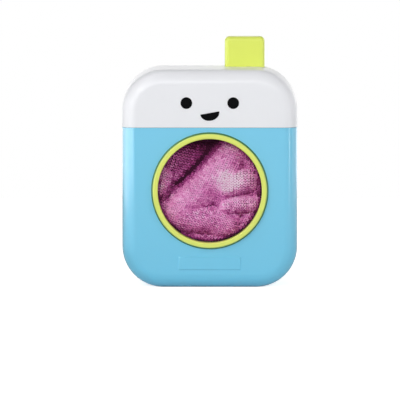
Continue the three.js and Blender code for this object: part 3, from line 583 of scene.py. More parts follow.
def grown(piece, tree, **sizes):
    """The piece as the tree makes it, from sizes that are named like the tree's inputs."""
    modifier = piece.modifiers.new("pattern", "NODES")
    modifier.node_group = tree
    for item in tree.interface.items_tree:
        label = item.name.replace(" ", "_")
        if item.in_out == "INPUT" and label in sizes:
            modifier[item.identifier] = sizes[label]
    return frozen(piece)


# the profile lies in X and Y, and the tree sweeps it round a circle about the porthole's centre
sweep, sizes = tree_for("swept_round", ("Radius", "Float", ring_radius), ("Steps", "Int", ring_steps))
circle = add_node(sweep, "CurvePrimitiveCircle", Radius=(sizes, "Radius"), Resolution=(sizes, "Steps"))
profile_curve = add_node(sweep, "MeshToCurve", Mesh=(sizes, "Geometry"))
swept = add_node(sweep, "CurveToMesh", Curve=(circle, "Curve"), Profile_Curve=(profile_curve, "Curve"))
finish_tree(sweep, sizes, (swept, "Mesh"))
ring_profile = [
    (bore_radius, spigot_end),
    *arc(bore_radius + inner_edge, ring_face + inner_edge, inner_edge, 180, 270),
    *arc(wall_top - outer_edge, ring_face + outer_edge, outer_edge, -90, -20),
    (ring_radius - foot_inset, seat - foot_height),
    (ring_radius, seat),
    (spigot_radius, seat),
    (spigot_radius, spigot_end),
]
ring_points = [(radius - ring_radius, depth - ring_face, 0) for radius, depth in ring_profile]
ring_mesh = bpy.data.meshes.new("porthole_bezel")
ring_mesh.from_pydata(ring_points, [(i, (i + 1) % len(ring_points)) for i in range(len(ring_points))], [])
lime_plastic = moulded("lime_plastic", linear(234, 247, 106), 0.3, mottle=0.01)
ring = placed("porthole_bezel", ring_mesh)
grown(ring, sweep, Finish=lime_plastic)
ring.data.transform(Matrix.Translation((0, ring_face, drum_height)) @ Matrix.Rotation(math.pi / 2, 4, "X"))
shape = bmesh.new()
shape.from_mesh(ring.data)
bmesh.ops.recalc_face_normals(shape, faces=shape.faces)
shape.to_mesh(ring.data)
shape.free()
for i in range(lug_count):
    combined(ring, "UNION", about_drum(box(*lug_sides), i * 2 * math.pi / lug_count))

# painted shade: the bezel's outer wall is a deeper green than its lip, standing in for the shade that falls
# on the wall
ring_lime = moulded("bezel_lime_plastic", linear(234, 244, 118), 0.3, mottle=0.01)
tree = ring_lime.node_tree
surface = tree.nodes["Principled BSDF"]
lip_tone = surface.inputs["Base Color"].links[0].from_node
place = add_node(tree, "TexCoord")
centred = add_node(tree, "Mapping", Vector=(place, "Object"), Location=(0, 0, -drum_height), Scale=(1, 0, 1))
reach = add_node(tree, "VectorMath", (centred, "Vector"), how={"operation": "LENGTH"})
edge = add_node(tree, "MapRange", Value=(reach, "Value"))
set_inputs(edge, From_Min=wall_shade_start, From_Max=wall_shade_end)
mix = add_node(tree, "Mix", how={"data_type": "RGBA"})
set_inputs(mix, Factor=(edge, "Result"), A=(lip_tone, "Result"), B=wall_shade_green)
set_inputs(surface, Base_Color=(mix, "Result"))
dressed(softly_shaded(ring, 35), ring_lime, "case", "lime_trim", "porthole_ring")

# Face
# Two eyes and a smiling mouth, pad-printed in black ink on the hood.
print_proud = 0.0003
print_sunk = 0.00005
print_edge = 0.00008
print_top_share = 0.985
print_steps = 64
mouth_half_width = 0.0067
mouth_drop = 0.0054
mouth_height = seam_height + 0.0103
mouth_tilt = math.radians(10)
mouth_steps = 40


def printed(name, outline):
    """A film of ink with a bevelled edge."""
    near = front_face - print_proud
    far = front_face - print_sunk
    mid_x = sum(x for x, _ in outline) / len(outline)
    mid_z = sum(z for _, z in outline) / len(outline)
    loops = []
    for share, y in ((print_top_share, near), (1.0, near + print_edge), (1.0, far)):
        loops.append([(mid_x + (x - mid_x) * share, y, mid_z + (z - mid_z) * share) for x, z in outline])
    return lofted(name, loops)


def eye_outline(node):
    low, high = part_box(node)
    wide, tall = (high.x - low.x) / 2, (high.z - low.z) / 2
    return oval((low.x + high.x) / 2, (low.z + high.z) / 2, wide, tall, print_steps)


smile = []
for i in range(mouth_steps + 1):
    turn = math.pi * (1 + i / mouth_steps)
    x = mouth_half_width * math.cos(turn)
    z = mouth_drop * math.sin(turn)
    across = x * math.cos(mouth_tilt) - z * math.sin(mouth_tilt)
    smile.append((across, mouth_height + x * math.sin(mouth_tilt) + z * math.cos(mouth_tilt)))
ink = moulded("black_ink", linear(8, 9, 11), 0.7, grain=0.05, grain_size=2600.0, mottle=0.2)
ink.node_tree.nodes["Principled BSDF"].inputs["Specular IOR Level"].default_value = 0.05
for node, outline in (
    ("left_eye", eye_outline("left_eye")),
    ("right_eye", eye_outline("right_eye")),
    ("mouth", smile),
):
    dressed(softly_shaded(printed(f"{node}_print", outline), 60), ink, "case", "black_print", node)

# Push button
# A hollow lime cap with soft edges that stands up through the hood, kept in by a flange round its foot.
# Two posts inside it take the screws of the rack.
button_top = button_high.z
button_base = button_low.z
button_corner = 0.0034
button_wall = 0.002
cut_off = 0.028
over_cut = 0.001
flange_reach = 0.0012
flange_height = 0.003
post_offset = 0.008
post_radius = 0.003
post_base = 0.1523
post_bore_end = 0.160
post_steps = 32
button = rounded_block(
    "push_button_moulding",
    (button_left, button_right, button_base - cut_off, button_top),
    button_corner,
    button_front,
    button_back,
    button_edge,
    10,
    8,
)
combined(
    button,
    "DIFFERENCE",
    box(high=button_base),
    button_column(-button_wall, button_base - over_cut, button_top - button_wall),
)
flange_top = button_base + flange_height
flange = button_column(flange_reach, button_base, flange_top)
combined(flange, "DIFFERENCE", button_column(-button_wall, button_base - over_cut, flange_top + over_cut))
combined(button, "UNION", flange)


def post(offset, radius, low, high):
    return standing(oval(button_centre + offset, button_y, radius, radius, post_steps), low, high)


for offset in (-post_offset, post_offset):
    combined(button, "UNION", post(offset, post_radius, post_base, button_top - over_cut))
    combined(button, "DIFFERENCE", post(offset, bore, post_base - over_cut, post_bore_end))
dressed(softly_shaded(button), lime_plastic, "plunger", "lime_trim", "push_button")

# Drum
# A white perforated cup with three lifters inside, screwed to the steel shaft from the front.
drum_rim = drum_low.y
drum_floor = 0.0005
drum_back = 0.0025
drum_outer = drum_high.x
drum_inner = drum_outer - 0.002
drum_sides = 144
drum_edge = 0.0015
rim_edge = 0.0008
rim_middle = drum_outer - 0.001
rim_start = drum_rim + 0.0004
rim_finish = drum_rim + 0.0012
hub_radius = 0.007
shaft_bore = 0.0027
lifter_count = 3
lifter_sides = (-0.003, 0.003, 0.0341, 0.038)
lifter_front = drum_rim + 0.009
lifter_back = 0.0015
lifter_corner = 0.001
lifter_edge = 0.0008
hole_radius = 0.0022
hole_steps = 24
holes_per_row = 9
punch_start = 0.036
punch_end = 0.040
row_pitch = (drum_floor - drum_rim) / 3
drum_white = moulded("drum_white_plastic", linear(230, 232, 236), 0.45)
drum_profile = [
    (shaft_bore, drum_floor),
    *arc(drum_inner - drum_edge, drum_floor - drum_edge, drum_edge, 90, 0, 4),
    (drum_inner, rim_start),
    *arc(rim_middle, drum_rim + rim_edge, rim_edge, -150, -20, 4),
    (drum_outer, rim_finish),
    *arc(drum_outer - drum_edge, drum_back - drum_edge, drum_edge, 0, 90, 4),
    (hub_radius, drum_back),
    (hub_radius, drum_high.y),
    (shaft_bore, drum_high.y),
]
drum = turned(drum_profile, 0, drum_height, drum_sides, "drum_cup")
for i in range(lifter_count):
    lifter = rounded_block("tool", lifter_sides, lifter_corner, lifter_front, lifter_back, lifter_edge, 5, 4)
    combined(drum, "UNION", about_drum(lifter, i * 2 * math.pi / lifter_count))
for row in (1, 2):
    for i in range(holes_per_row):
        round_hole = oval(0, drum_rim + row * row_pitch, hole_radius, hole_radius, hole_steps)
        punch = standing(round_hole, punch_start, punch_end)
        combined(drum, "DIFFERENCE", about_drum(punch, (i + 0.5) * 2 * math.pi / holes_per_row))
dressed(softly_shaded(drum), drum_white, "spinning_drum", "drum_white", "drum")

# Screws
# Steel pan heads with a cross recess: four hold the case, two the hood, four the gear plate, four the cover,
# two the rack and one the drum.
shank = 0.0013
tip = shank * 0.5
thread_root = shank * 0.8
pitch = 0.001
head = 0.0026
head_height = 0.0017
head_side = 0.45
recess_sides = (-0.0014, 0.0014, head_height - 0.0009, head_height + 0.001, -0.0003, 0.0003)
steel, tree, surface = new_paint("zinc_plated_steel", Metallic=1.0)
place = add_node(tree, "TexCoord")
cloud = add_node(tree, "TexNoise", Vector=(place, "Object"), Scale=1400.0, Detail=4.0)
shade = add_node(tree, "ValToRGB", Fac=(cloud, "Fac"))
colour_steps(shade, [(0.3, linear(160, 164, 170)), (0.7, linear(198, 201, 206))])
polish = add_node(tree, "MapRange", Value=(cloud, "Fac"), To_Min=0.22, To_Max=0.4)
set_inputs(surface, Base_Color=(shade, "Color"), Roughness=(polish, "Result"))


def screw_shape(length):
    """A screw along +Y: the head's top at +Y, its seat at 0 and its tip at -length."""
    profile = [(0, -length), (tip, -length)]
    for i in range(int((length - shank) / pitch), 0, -1):
        crest = -i * pitch
        profile += [(thread_root, crest - 0.0002), (shank, crest + pitch * 0.3)]
        profile.append((thread_root, crest + pitch * 0.6))
    profile += [(thread_root, 0), (head, 0), (head, head_height * head_side)]
    for degrees in (15, 30, 45, 60, 75):
        turn = math.radians(degrees)
        rise = head_side + (1 - head_side) * math.sin(turn)
        profile.append((head * math.cos(turn), head_height * rise))
    profile.append((0, head_height))
    screw = turned(profile, 0, 0, 24)
    for angle in (0, math.pi / 2):
        recess = box(*recess_sides)
        recess.data.transform(Matrix.Rotation(angle, 4, "Y"))
        combined(screw, "DIFFERENCE", recess)
    return screw


def copies_on_points(tree, sizes, what, **placing):
    """The rest of a tree that puts a copy of an object on each point, with the placing as further inputs."""
    points = add_node(tree, "MeshToPoints", Mesh=(sizes, "Geometry"))
    brought = add_node(tree, "ObjectInfo", Object=(sizes, what))
    put = add_node(tree, "InstanceOnPoints", Points=(points, "Points"), **placing)
    set_inputs(put, Instance=(brought, "Geometry"))
    finish_tree(tree, sizes, (put, "Instances"))


def point_vector(tree, label):
    """The vector of that name on each point."""
    return add_node(tree, "InputNamedAttribute", how={"data_type": "FLOAT_VECTOR"}, Name=label), "Attribute"


def bare_points(name, places, **vectors):
    """A piece that is only points as yet, each with its named vectors."""
    mesh = bpy.data.meshes.new(name)
    mesh.from_pydata([tuple(place) for place in places], [], [])
    for label, values in vectors.items():
        attribute = mesh.attributes.new(label, "FLOAT_VECTOR", "POINT")
        attribute.data.foreach_set("vector", np.array(values, np.float32).ravel())
    return placed(name, mesh)


# a point for each screw, and the tree puts the screw there, turned its own way
fixing, sizes = tree_for("screws_on_points", ("Screw", "Object", None))
copies_on_points(fixing, sizes, "Screw", Rotation=point_vector(fixing, "heading"))


def screws(name, length, places, headings):
    pattern = screw_shape(length)
    piece = grown(bare_points(name, places, heading=headings), fixing, Screw=pattern, Finish=steel)
    bpy.data.objects.remove(pattern)
    return piece


def group(first, *others):
    """The first piece, with the others' meshes taken into its own."""
    shape = bmesh.new()
    for part in (first, *others):
        shape.from_mesh(part.data)
    shape.to_mesh(first.data)
    shape.free()
    for part in others:
        bpy.data.objects.remove(part)
    return first


def seated(node, count):
    """Where the underside of each head lies, for screws that are driven from behind."""
    boxes = [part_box(f"{node}_{i + 1}") for i in range(count)]
    return [((low.x + high.x) / 2, high.y - head_height, (low.z + high.z) / 2) for low, high in boxes]


screw_turns = [(0, math.radians(degrees), 0) for degrees in (20, -35, 50, 5)]
case_fixings = []
driven = []
for node, count, length in (
    ("case_screw", 4, 0.014),
    ("hood_screw", 2, 0.009),
    ("plate_screw", 4, 0.010),
    ("cover_screw", 4, 0.009),
):
    case_fixings.append(screws("case_and_plate_screws", length, seated(node, count), screw_turns[:count]))
    driven += [f"{node}_{i + 1}" for i in range(count)]
dressed(softly_shaded(group(*case_fixings), 40), steel, "case", "screw_steel", *driven)
rack_boxes = [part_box(f"rack_screw_{i}") for i in (1, 2)]
rack_seats = [((low.x + high.x) / 2, (low.y + high.y) / 2, low.z + head_height) for low, high in rack_boxes]
rack_fixings = screws("rack_screws", 0.010, rack_seats, [(-math.pi / 2, 0, 0)] * 2)
dressed(softly_shaded(rack_fixings, 40), steel, "plunger", "screw_steel", "rack_screw_1", "rack_screw_2")
low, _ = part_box("drum_screw")
drum_fixing = screws("drum_fixing_screw", 0.008, [(0, low.y + head_height, drum_height)], [(math.pi, 0, 0)])
dressed(softly_shaded(drum_fixing, 40), steel, "spinning_drum", "screw_steel", "drum_screw")

# Return spring
# One steel wire coiled round the gear plate's post.
spring_low, spring_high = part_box("return_spring")
wire_radius = 0.00045
coil_radius = 0.003
coil_turns = 8.0
coil_steps = 28
wire_steps = 10
coil_height = spring_high.z - spring_low.z - 2 * wire_radius
coil, sizes = tree_for(
    "coiled_wire",
    ("Coil radius", "Float", coil_radius),
    ("Wire radius", "Float", wire_radius),
    ("Height", "Float", coil_height),
    ("Turns", "Float", coil_turns),
)
helix = add_node(coil, "CurveSpiral", Resolution=coil_steps)
set_inputs(helix, Height=(sizes, "Height"), Rotations=(sizes, "Turns"))
set_inputs(helix, Start_Radius=(sizes, "Coil radius"), End_Radius=(sizes, "Coil radius"))
wire = add_node(coil, "CurvePrimitiveCircle", Resolution=wire_steps, Radius=(sizes, "Wire radius"))
wound = add_node(coil, "CurveToMesh", Curve=(helix, "Curve"), Profile_Curve=(wire, "Curve"), Fill_Caps=True)
finish_tree(coil, sizes, (wound, "Mesh"))
spring = placed("return_coil", bpy.data.meshes.new("return_coil"))
grown(spring, coil, Finish=steel)
spring.data.transform(Matrix.Translation((button_centre, button_y, spring_low.z + wire_radius)))
dressed(softly_shaded(spring, 60), steel, "case", "steel", "return_spring")
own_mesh(spring)

# Shaft, axle and clip
# The drum's stepped shaft, the drive gear's axle and the clip that holds the shaft are plain ground steel.


def coated_inside(paint, *nodes):
    for node in nodes:
        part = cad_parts[node]
        part.data.materials.clear()
        part.data.materials.append(paint)


coated_inside(steel, "drum_shaft", "gear_axle", "shaft_clip")

# Gears, bushes and washer
# Natural acetal, a milky plastic that runs without grease.
acetal = moulded("natural_acetal", linear(232, 228, 214), 0.4, grain=0.05, mottle=0.05)
coated_inside(acetal, "drum_gear", "drive_gear", "plate_bush", "cover_bush", "thrust_washer")

# Gear plate and gearbox cover
# The chassis mouldings behind the drum, in a satin mid grey.
chassis_grey = moulded("chassis_grey_plastic", linear(142, 148, 154), 0.5, grain=0.12, mottle=0.05)
coated_inside(chassis_grey, "gear_plate", "gearbox_cover")

# Button rack
# The toothed rack under the button, in yellow plastic.
rack_yellow = moulded("rack_yellow_plastic", linear(236, 196, 62), 0.42, grain=0.06, mottle=0.04)
coated_inside(rack_yellow, "button_rack")

# Knitted laundry
# Magenta knitted cloth, stuffed into the drum as far as the porthole: a padded bundle in a skin of stitches.
# Its folds roll over each other, and every stitch is two strands of yarn that meet in a V.
cloth_low, cloth_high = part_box("knit_cloth")
cloth_front = cloth_low.y
cloth_rear = cloth_high.y - 0.0004
cloth_reach = 0.0358
inner_reach = 0.0332
edge_bend = 0.0022
edge_arc = cloth_reach - edge_bend + edge_bend * math.pi / 2
rear_edge = 0.003
shoulder_depth = drum_rim + 0.0080
deepest = shoulder_depth - 0.0015
valley_depth = 0.0115
stitch_width = 0.00225
stitch_length = 0.0017
stitch_bed = 0.0007

# Each fold: centre across and up from the drum's axis, heading in degrees, half length and half width,
# how far its crest lies behind the front, how far its sides roll back, how much it bows, and then the
# stitches' heading, size and lightness. The lightness is painted light and shade: each fold of the one
# yarn is painted lighter where it is lit and darker where it lies in shade. Lengths are in millimetres.
folds = [
    ("main", -1.0, 5.2, 47, 30, 13.8, 0.4, 10.5, 0.12, 60, 0.92, 0.66),
    ("upper_left", -24.9, 26.6, 47, 27, 15.4, 3.4, 8.5, 0.13, 77, 1.15, 0.46),
    ("crease_floor", -11.6, 15.6, 47, 34, 6.0, 9.2, 2.0, 0.13, 70, 1.0, -0.05),
    ("left_edge", -33.0, 3.0, 82, 7, 7.5, 1.6, 7.0, 0.0, 80, 1.05, 0.58),
    ("upper_right", 28.5, 23.5, 125, 15, 12.0, 2.4, 8.0, 0.05, 98, 1.0, 0.54),
    ("patch", 20.0, 4.8, 10, 6, 9.6, 0.0, 8.5, 0.10, 90, 1.08, 0.74),
    ("right_edge", 34.0, -1.0, 88, 8, 7.0, 4.2, 6.0, 0.0, 94, 1.0, 0.46),
    ("hem", 23.0, -11.0, 3, 11, 6.4, 0.4, 8.0, -0.12, 3, 1.0, 0.69),
    ("lower_left", -25.5, -12.5, 28, 9, 11.5, 1.4, 9.0, 0.10, 42, 1.0, 0.58),
    ("lower_middle", -3.0, -21.5, -9, 16, 11.5, 0.2, 9.5, -0.10, 74, 1.0, 0.62),
    ("tuck", 8.5, -8.0, -48, 7, 8.0, 3.4, 7.0, 0.10, 20, 1.0, 0.44),
    ("lower_right", 26.0, -26.5, 38, 10, 10.0, 1.8, 8.0, 0.08, 112, 1.0, 0.52),
    ("lowest", -5.0, -37.0, 3, 24, 8.5, 2.8, 8.0, 0.06, 92, 1.0, 0.48),
]
crease_floor = folds[2]
crease_width = 0.0038
crease_half_length = 0.032
quarter = np.linspace(0, math.pi / 2, 60)

# painted shade round the porthole's edge, in the crease and, as painted shadow, under the porthole's top
edge_shade = 0.2
edge_fade = 0.002
crease_shade = 0.24
pushed_shade = 0.6

# painted highlights: centre across and up, radius, and how much lighter the yarn is painted there
lit_places = [(0.0122, 0.0062, 0.0074, 0.68), (-0.031, 0.004, 0.010, 0.12)]


def offset_of(fold, along):
    """How far a fold's centre line strays from straight."""
    half_length, bow = fold[4] / 1000, fold[8]
    return bow * half_length * (np.clip(along / half_length, -1, 1) ** 2 - 0.35)


def pushed_in(px, pz):
    """The share by which the cloth sinks away under the top of the porthole."""
    return np.exp(-(((px + 0.007) / 0.017) ** 2) - ((pz - 0.039) / 0.011) ** 2)


def under_form(px, pz):
    """How far the whole bundle is pushed in: unevenly, and most under the porthole's top."""
    wave = 0.0006 * np.sin(px * 290 + 0.7) * np.sin(pz * 250 + 1.9) + 0.0003 * np.sin(px * 720 + pz * 520)
    return wave + 0.0085 * pushed_in(px, pz)


def beside(fold, px, pz):
    """Where a place seen from the front lies along a fold and across it."""
    angle = math.radians(fold[3])
    dx = px - fold[1] / 1000
    dz = pz - fold[2] / 1000
    along = dx * math.cos(angle) + dz * math.sin(angle)
    return along, dz * math.cos(angle) - dx * math.sin(angle) - offset_of(fold, along)


def painted_light_and_shade(px, pz):
    """How much lighter the yarn is painted in the lit places, as painted highlights, and how much darker as
    painted shade in the crease, round the edge and under the porthole's top.
    """
    lit = sum(more * np.exp(-((px - x) ** 2 + (pz - z) ** 2) / wide**2) for x, z, wide, more in lit_places)
    round_edge = edge_shade * np.clip((np.hypot(px, pz) - inner_reach) / edge_fade, 0, 1)
    along, across = beside(crease_floor, px, pz)
    crease = crease_shade * np.exp(-((across / crease_width) ** 2)) * (np.abs(along) < crease_half_length)
    return lit - round_edge - crease - pushed_shade * pushed_in(px, pz)


def fold_depth(fold, px, pz):
    """How far a fold lies behind the front at a place seen from the front; past its sides it is far away."""
    half_length, half_width, crest, drop = fold[4:8]
    along, across = beside(fold, px, pz)
    ratio = np.hypot(np.maximum(np.abs(along) - half_length / 1000, 0), across) / (half_width / 1000)
    depth = (crest + drop * (1 - np.sqrt(np.maximum(1 - ratio**2, 0)))) / 1000
    return np.where(ratio < 1, depth, 1.0)


def rolled(fold, along, across):
    """A place on a fold, from lengths measured along its cloth: across, up and depth seen from the front."""
    x, z, heading, half_length, half_width, crest, drop = fold[1:8]
    sideways = half_width / 1000 * np.sin(quarter)
    depth = drop / 1000 * (1 - np.cos(quarter))
    lengths = np.concatenate(([0], np.cumsum(np.hypot(np.diff(sideways), np.diff(depth)))))
    past = np.sign(along) * np.maximum(np.abs(along) - half_length / 1000, 0)
    reach = np.maximum(np.hypot(past, across), 1e-9)
    shrink = np.interp(reach, lengths, sideways) / reach
    here = along - past + past * shrink
    aside = across * shrink + offset_of(fold, here)
    angle = math.radians(heading)
    px = x / 1000 + here * math.cos(angle) - aside * math.sin(angle)
    pz = z / 1000 + here * math.sin(angle) + aside * math.cos(angle)
    deep = crest / 1000 + np.interp(reach, lengths, depth)
    return px, pz, deep, reach < lengths[-1] * 0.98


def settled(px, pz, deep):
    """The place itself: near the porthole's edge the cloth bends back into the drum."""
    radius = np.hypot(px, pz)
    start = cloth_reach - edge_bend
    over = np.maximum(radius - start, 0)
    turn = np.minimum(over / edge_bend, math.pi / 2)
    scale = np.where(over > 0, start + edge_bend * np.sin(turn), radius) / np.maximum(radius, 1e-9)
    depth = cloth_front + np.maximum(deep + under_form(px, pz), 0.0001) + edge_bend * (1 - np.cos(turn))
    depth = np.minimum(depth, deepest) + np.maximum(over - edge_bend * math.pi / 2, 0)
    return np.stack([px * scale, depth, pz * scale + drum_height], axis=-1)


# the closed bundle under the stitches: its front follows the folds, its sides and back fill the drum
steps_round = 192
steps_out = 75
radii = np.linspace(0, edge_arc, steps_out + 1)[1:]
turns = np.arange(steps_round) * 2 * math.pi / steps_round
px = np.concatenate(([0.0], (radii[:, None] * np.cos(turns)).ravel()))
pz = np.concatenate(([0.0], (radii[:, None] * np.sin(turns)).ravel()))
depths = np.stack([fold_depth(fold, px, pz) for fold in folds])
front_points = settled(px, pz, np.minimum(depths.min(axis=0), valley_depth) + stitch_bed)
rear_profile = [
    (cloth_reach, deepest + 0.0008),
    (inner_reach, shoulder_depth + 0.0006),
    (inner_reach, cloth_rear - 0.0032),
    *arc(inner_reach - rear_edge, cloth_rear - rear_edge, rear_edge, 0, 90, 5),
    (0.020, cloth_rear),
    (0.008, cloth_rear),
]
vertices = [tuple(point) for point in front_points]
for radius, depth in rear_profile:
    vertices += [(radius * math.cos(turn), depth, drum_height + radius * math.sin(turn)) for turn in turns]
vertices.append((0, cloth_rear, drum_height))
faces = [(0, 1 + i, 1 + (i + 1) % steps_round) for i in range(steps_round)]
for ring_row in range(steps_out + len(rear_profile) - 1):
    first = 1 + ring_row * steps_round
    for i in range(steps_round):
        j = (i + 1) % steps_round
        faces.append((first + i, first + j, first + steps_round + j, first + steps_round + i))
last = len(vertices) - 1
rear = last - steps_round
faces += [(last, rear + (i + 1) % steps_round, rear + i) for i in range(steps_round)]
wad = made("laundry_wad", vertices, faces)

yarn, tree, surface = new_paint(
    "magenta_yarn",
    Roughness=0.85,
    Specular_IOR_Level=0.12,
    Sheen_Weight=0.3,
    Sheen_Roughness=0.45,
    Sheen_Tint=linear(240, 175, 220),
)
fleck_strength = 0.7
fleck_range = (fleck_strength, -fleck_strength / 2)
place = add_node(tree, "TexCoord")
lightness = add_node(tree, "Attribute", how={"attribute_name": "lightness"})
fleck = add_node(tree, "TexNoise", Vector=(place, "Object"), Scale=850.0, Detail=3.0)
spread = add_node(tree, "Math", (fleck, "Fac"), *fleck_range, how={"operation": "MULTIPLY_ADD"})
total = add_node(tree, "Math", (lightness, "Fac"), (spread, 0), how={"operation": "ADD"})
# the yarn's colour runs from its painted shade, through its own magenta, to its painted highlights, as the
# lightness and the random flecks say
tone_and_painted_light = add_node(tree, "ValToRGB", Fac=(total, 0))
shade_to_mid_yarn_tones = [(0.0, linear(62, 8, 44)), (0.3, linear(164, 60, 130)), (0.55, linear(226, 126, 196))]
highlight_yarn_tones = [(0.8, linear(253, 186, 234)), (1.0, linear(255, 228, 248))]
colour_steps(tone_and_painted_light, shade_to_mid_yarn_tones + highlight_yarn_tones)
fibre = add_node(tree, "TexNoise", Vector=(place, "Object"), Scale=5200.0, Detail=2.0)
bump = add_node(tree, "Bump", Strength=0.5, Distance=0.0001, Height=(fibre, "Fac"))
set_inputs(surface, Base_Color=(tone_and_painted_light, "Color"), Normal=(bump, "Normal"))


def set_lightness(piece, values):
    attribute = piece.data.attributes.new("lightness", "FLOAT", "POINT")
    attribute.data.foreach_set("value", values.astype(np.float32))


# the bundle shows in the gaps between the stitches: its front is painted darker than the stitches over it, as
# painted shade in the gaps, and follows their painted highlights and shades; its sides and back get a low
# lightness, painted shade under the stitches there too
backing_shade_drop = 0.54
backing_share = 0.8
wad.data.shade_smooth()
backing_light_and_shade = np.array([fold[11] for fold in folds])[depths.argmin(axis=0)]
backing_light_and_shade = backing_light_and_shade - backing_shade_drop + backing_share * painted_light_and_shade(px, pz)
wad_lightness = np.full(len(wad.data.vertices), 0.3)
wad_lightness[: len(backing_light_and_shade)] = backing_light_and_shade
set_lightness(wad, wad_lightness)

# a strand's stations are its shares of the way from foot to top, each with its share of the thickness
strand_stations = [(0.0, 0.15), (0.28, 1.0), (0.66, 1.0), (1.0, 0.2)]
strand_sides = 5
strand_radius = stitch_width * 0.25
strand_bow = 0.00006
strand_rise = 0.00034
strand_foot = (stitch_width * 0.04, -stitch_length * 0.66, -0.00018)
strand_top = (stitch_width * 0.42, stitch_length * 0.62, -0.00012)


def strand(side):
    """One leg of a stitch: a spindle of yarn from the V's foot, at the bottom, to its top on one side."""
    foot = np.array(strand_foot) * (side, 1, 1)
    top = np.array(strand_top) * (side, 1, 1)
    loops = []
    for share, width in strand_stations:
        swell = math.sin(share * math.pi)
        centre = foot + (top - foot) * share + np.array([side * strand_bow * swell, 0, strand_rise * swell])
        turns = [2 * math.pi * k / strand_sides + 0.3 for k in range(strand_sides)]
        around = [np.array([math.cos(turn), 0, math.sin(turn)]) for turn in turns]
        loops.append([tuple(centre + strand_radius * width * out) for out in around])
    return lofted("strand", loops)


stitch = group(strand(-1), strand(1))
stitch.data.shade_smooth()

# a stitch on each point faces out of the cloth and follows its wale, each a little larger or smaller
knitting, sizes = tree_for(
    "stitches_on_cloth",
    ("Stitch", "Object", None),
    ("Stitch size", "Float", 1.0),
    ("Unevenness", "Float", 0.12),
    ("Seed", "Int", 7),
)
facing = add_node(knitting, "FunctionNodeAxesToRotation", how={"primary_axis": "Z", "secondary_axis": "Y"})
set_inputs(facing, Primary_Axis=point_vector(knitting, "outward"))
set_inputs(facing, Secondary_Axis=point_vector(knitting, "wale"))
limits = ((sizes, "Stitch size"), (sizes, "Unevenness"))
least = add_node(knitting, "ShaderNodeMath", *limits, how={"operation": "SUBTRACT"})
most = add_node(knitting, "ShaderNodeMath", *limits, how={"operation": "ADD"})
uneven = add_node(knitting, "FunctionNodeRandomValue", how={"data_type": "FLOAT"}, Seed=(sizes, "Seed"))
knitting.links.new(least.outputs[0], uneven.inputs[2])
knitting.links.new(most.outputs[0], uneven.inputs[3])
copies_on_points(knitting, sizes, "Stitch", Rotation=(facing, "Rotation"), Scale=(uneven, 1))


def knitted(name, places, normals, wales, shades):
    piece = bare_points(name, places, outward=normals, wale=wales)
    set_lightness(piece, shades)
    return grown(piece, knitting, Stitch=stitch, Finish=yarn)


dye_lot = np.random.RandomState(11)
dye_spread = 0.06
step = 0.0004
overlap = 0.0004
furthest_stitch = 0.0113
past_edge = 0.0018
steepest = 0.25
least_area = 0.1 * step * step
key_share = 0.35
even_light = 0.72
yarn_lift = 0.05
roll_shade = 0.03
back_shade = 0.5
towards_key = np.array([-0.45, -0.68, 0.58])
laid = []
for k, fold in enumerate(folds):
    heading, half_length, half_width, crest = fold[3:7]
    knit_heading, size, pale = fold[9:]
    turn = math.radians(knit_heading - heading)
    span = half_length / 1000 + half_width / 1000 * 2
    columns = np.arange(-int(span / stitch_width), int(span / stitch_width) + 1) * stitch_width * size
    rows = np.arange(-int(span / stitch_length), int(span / stitch_length) + 1) * stitch_length * size
    u, v = np.meshgrid(columns, rows)
    along = u * math.sin(turn) + v * math.cos(turn)
    across = v * math.sin(turn) - u * math.cos(turn)
    px, pz, deep, inside = rolled(fold, along, across)
    others = np.stack([fold_depth(other, px, pz) for j, other in enumerate(folds) if j != k]).min(axis=0)
    inside &= (deep < others + overlap) & (deep < furthest_stitch) & (np.hypot(px, pz) < edge_arc + past_edge)
    along, across, px, pz, deep = along[inside], across[inside], px[inside], pz[inside], deep[inside]
    here = settled(px, pz, deep)
    ahead = settled(*rolled(fold, along + step * math.cos(turn), across + step * math.sin(turn))[:3])
    sideways = settled(*rolled(fold, along + step * math.sin(turn), across - step * math.cos(turn))[:3])
    up = ahead - here
    normal = np.cross(sideways - here, up)
    area = np.maximum(np.linalg.norm(normal, axis=1), 1e-15)
    normal = normal / area[:, None]
    up = up / np.maximum(np.linalg.norm(up, axis=1), 1e-12)[:, None]
    good = (area > least_area) & (normal[:, 1] < steepest)
    # painted light and shade on each stitch: lighter where it faces the key lamp, darker the further it rolls
    # back, lighter or darker with the painted highlights and shades, and a random dye tone on top
    facing_key = key_share * ((normal * towards_key).sum(axis=1) - even_light)
    painted_light_and_dye_lot = painted_light_and_shade(px, pz) + dye_lot.normal(0, dye_spread, len(px))
    shades = pale + yarn_lift + painted_light_and_dye_lot + facing_key - roll_shade * np.maximum(deep * 1000 - crest, 0)
    laid.append((here[good], normal[good], up[good] * size, shades[good]))
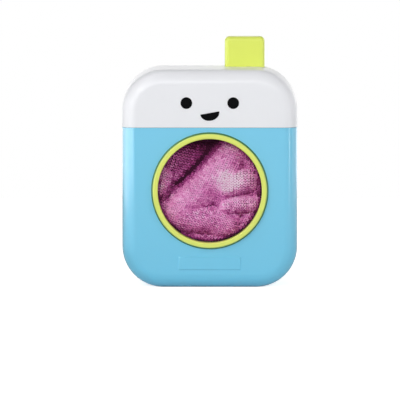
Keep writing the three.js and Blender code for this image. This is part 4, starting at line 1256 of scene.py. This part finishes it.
stitches = knitted("laundry_stitches", *[np.concatenate(values) for values in zip(*laid)])

# the same knit goes round the bundle's sides and over its back
rim_depth = front_points[-steps_round:, 1]
rim_rows = 8
rim_clearance = 0.0014
side_start = shoulder_depth + 0.0016
side_end = cloth_rear - 0.0028
side_rows = int((side_end - side_start) / stitch_length)
round_rows = [(cloth_reach, deepest - (i + 0.3) * stitch_length, 0) for i in range(rim_rows)]
round_rows += [(inner_reach, side_start + i * stitch_length, 0) for i in range(side_rows)]
for lean in (math.radians(20), math.radians(55)):
    radius = inner_reach - rear_edge + rear_edge * math.cos(lean)
    round_rows.append((radius, cloth_rear - rear_edge + rear_edge * math.sin(lean), lean))
places = []
normals = []
wales = []
for radius, depth, lean in round_rows:
    count = int(2 * math.pi * radius / stitch_width)
    for i in range(count):
        turn = i * 2 * math.pi / count
        rim = np.interp(turn, turns, rim_depth, period=2 * math.pi)
        if radius == cloth_reach and depth < rim + rim_clearance:
            continue
        out = Vector((math.cos(turn), 0, math.sin(turn)))
        places.append((radius * out.x, depth, radius * out.z + drum_height))
        normals.append((out.x * math.cos(lean), math.sin(lean), out.z * math.cos(lean)))
        wales.append((-out.x * math.sin(lean), math.cos(lean), -out.z * math.sin(lean)))
back_turn = math.radians(65)
back_reach = inner_reach - 0.0035
span = int(0.031 / stitch_length)
for row in range(-span, span + 1):
    for column in range(-span, span + 1):
        u = column * stitch_width
        v = row * stitch_length
        if math.hypot(u, v) < back_reach:
            x = u * math.sin(back_turn) + v * math.cos(back_turn)
            z = v * math.sin(back_turn) - u * math.cos(back_turn)
            places.append((x, cloth_rear, z + drum_height))
            normals.append((0, 1, 0))
            wales.append((math.cos(back_turn), 0, math.sin(back_turn)))
shades = back_shade + dye_lot.normal(0, dye_spread, len(places))
back_stitches = knitted("laundry_back_stitches", places, normals, wales, shades)
bpy.data.objects.remove(stitch)
dressed(back_stitches, yarn, "laundry", "knit")
dressed(stitches, yarn, "laundry", "knit")
dressed(wad, yarn, "laundry", "knit", "knit_cloth")
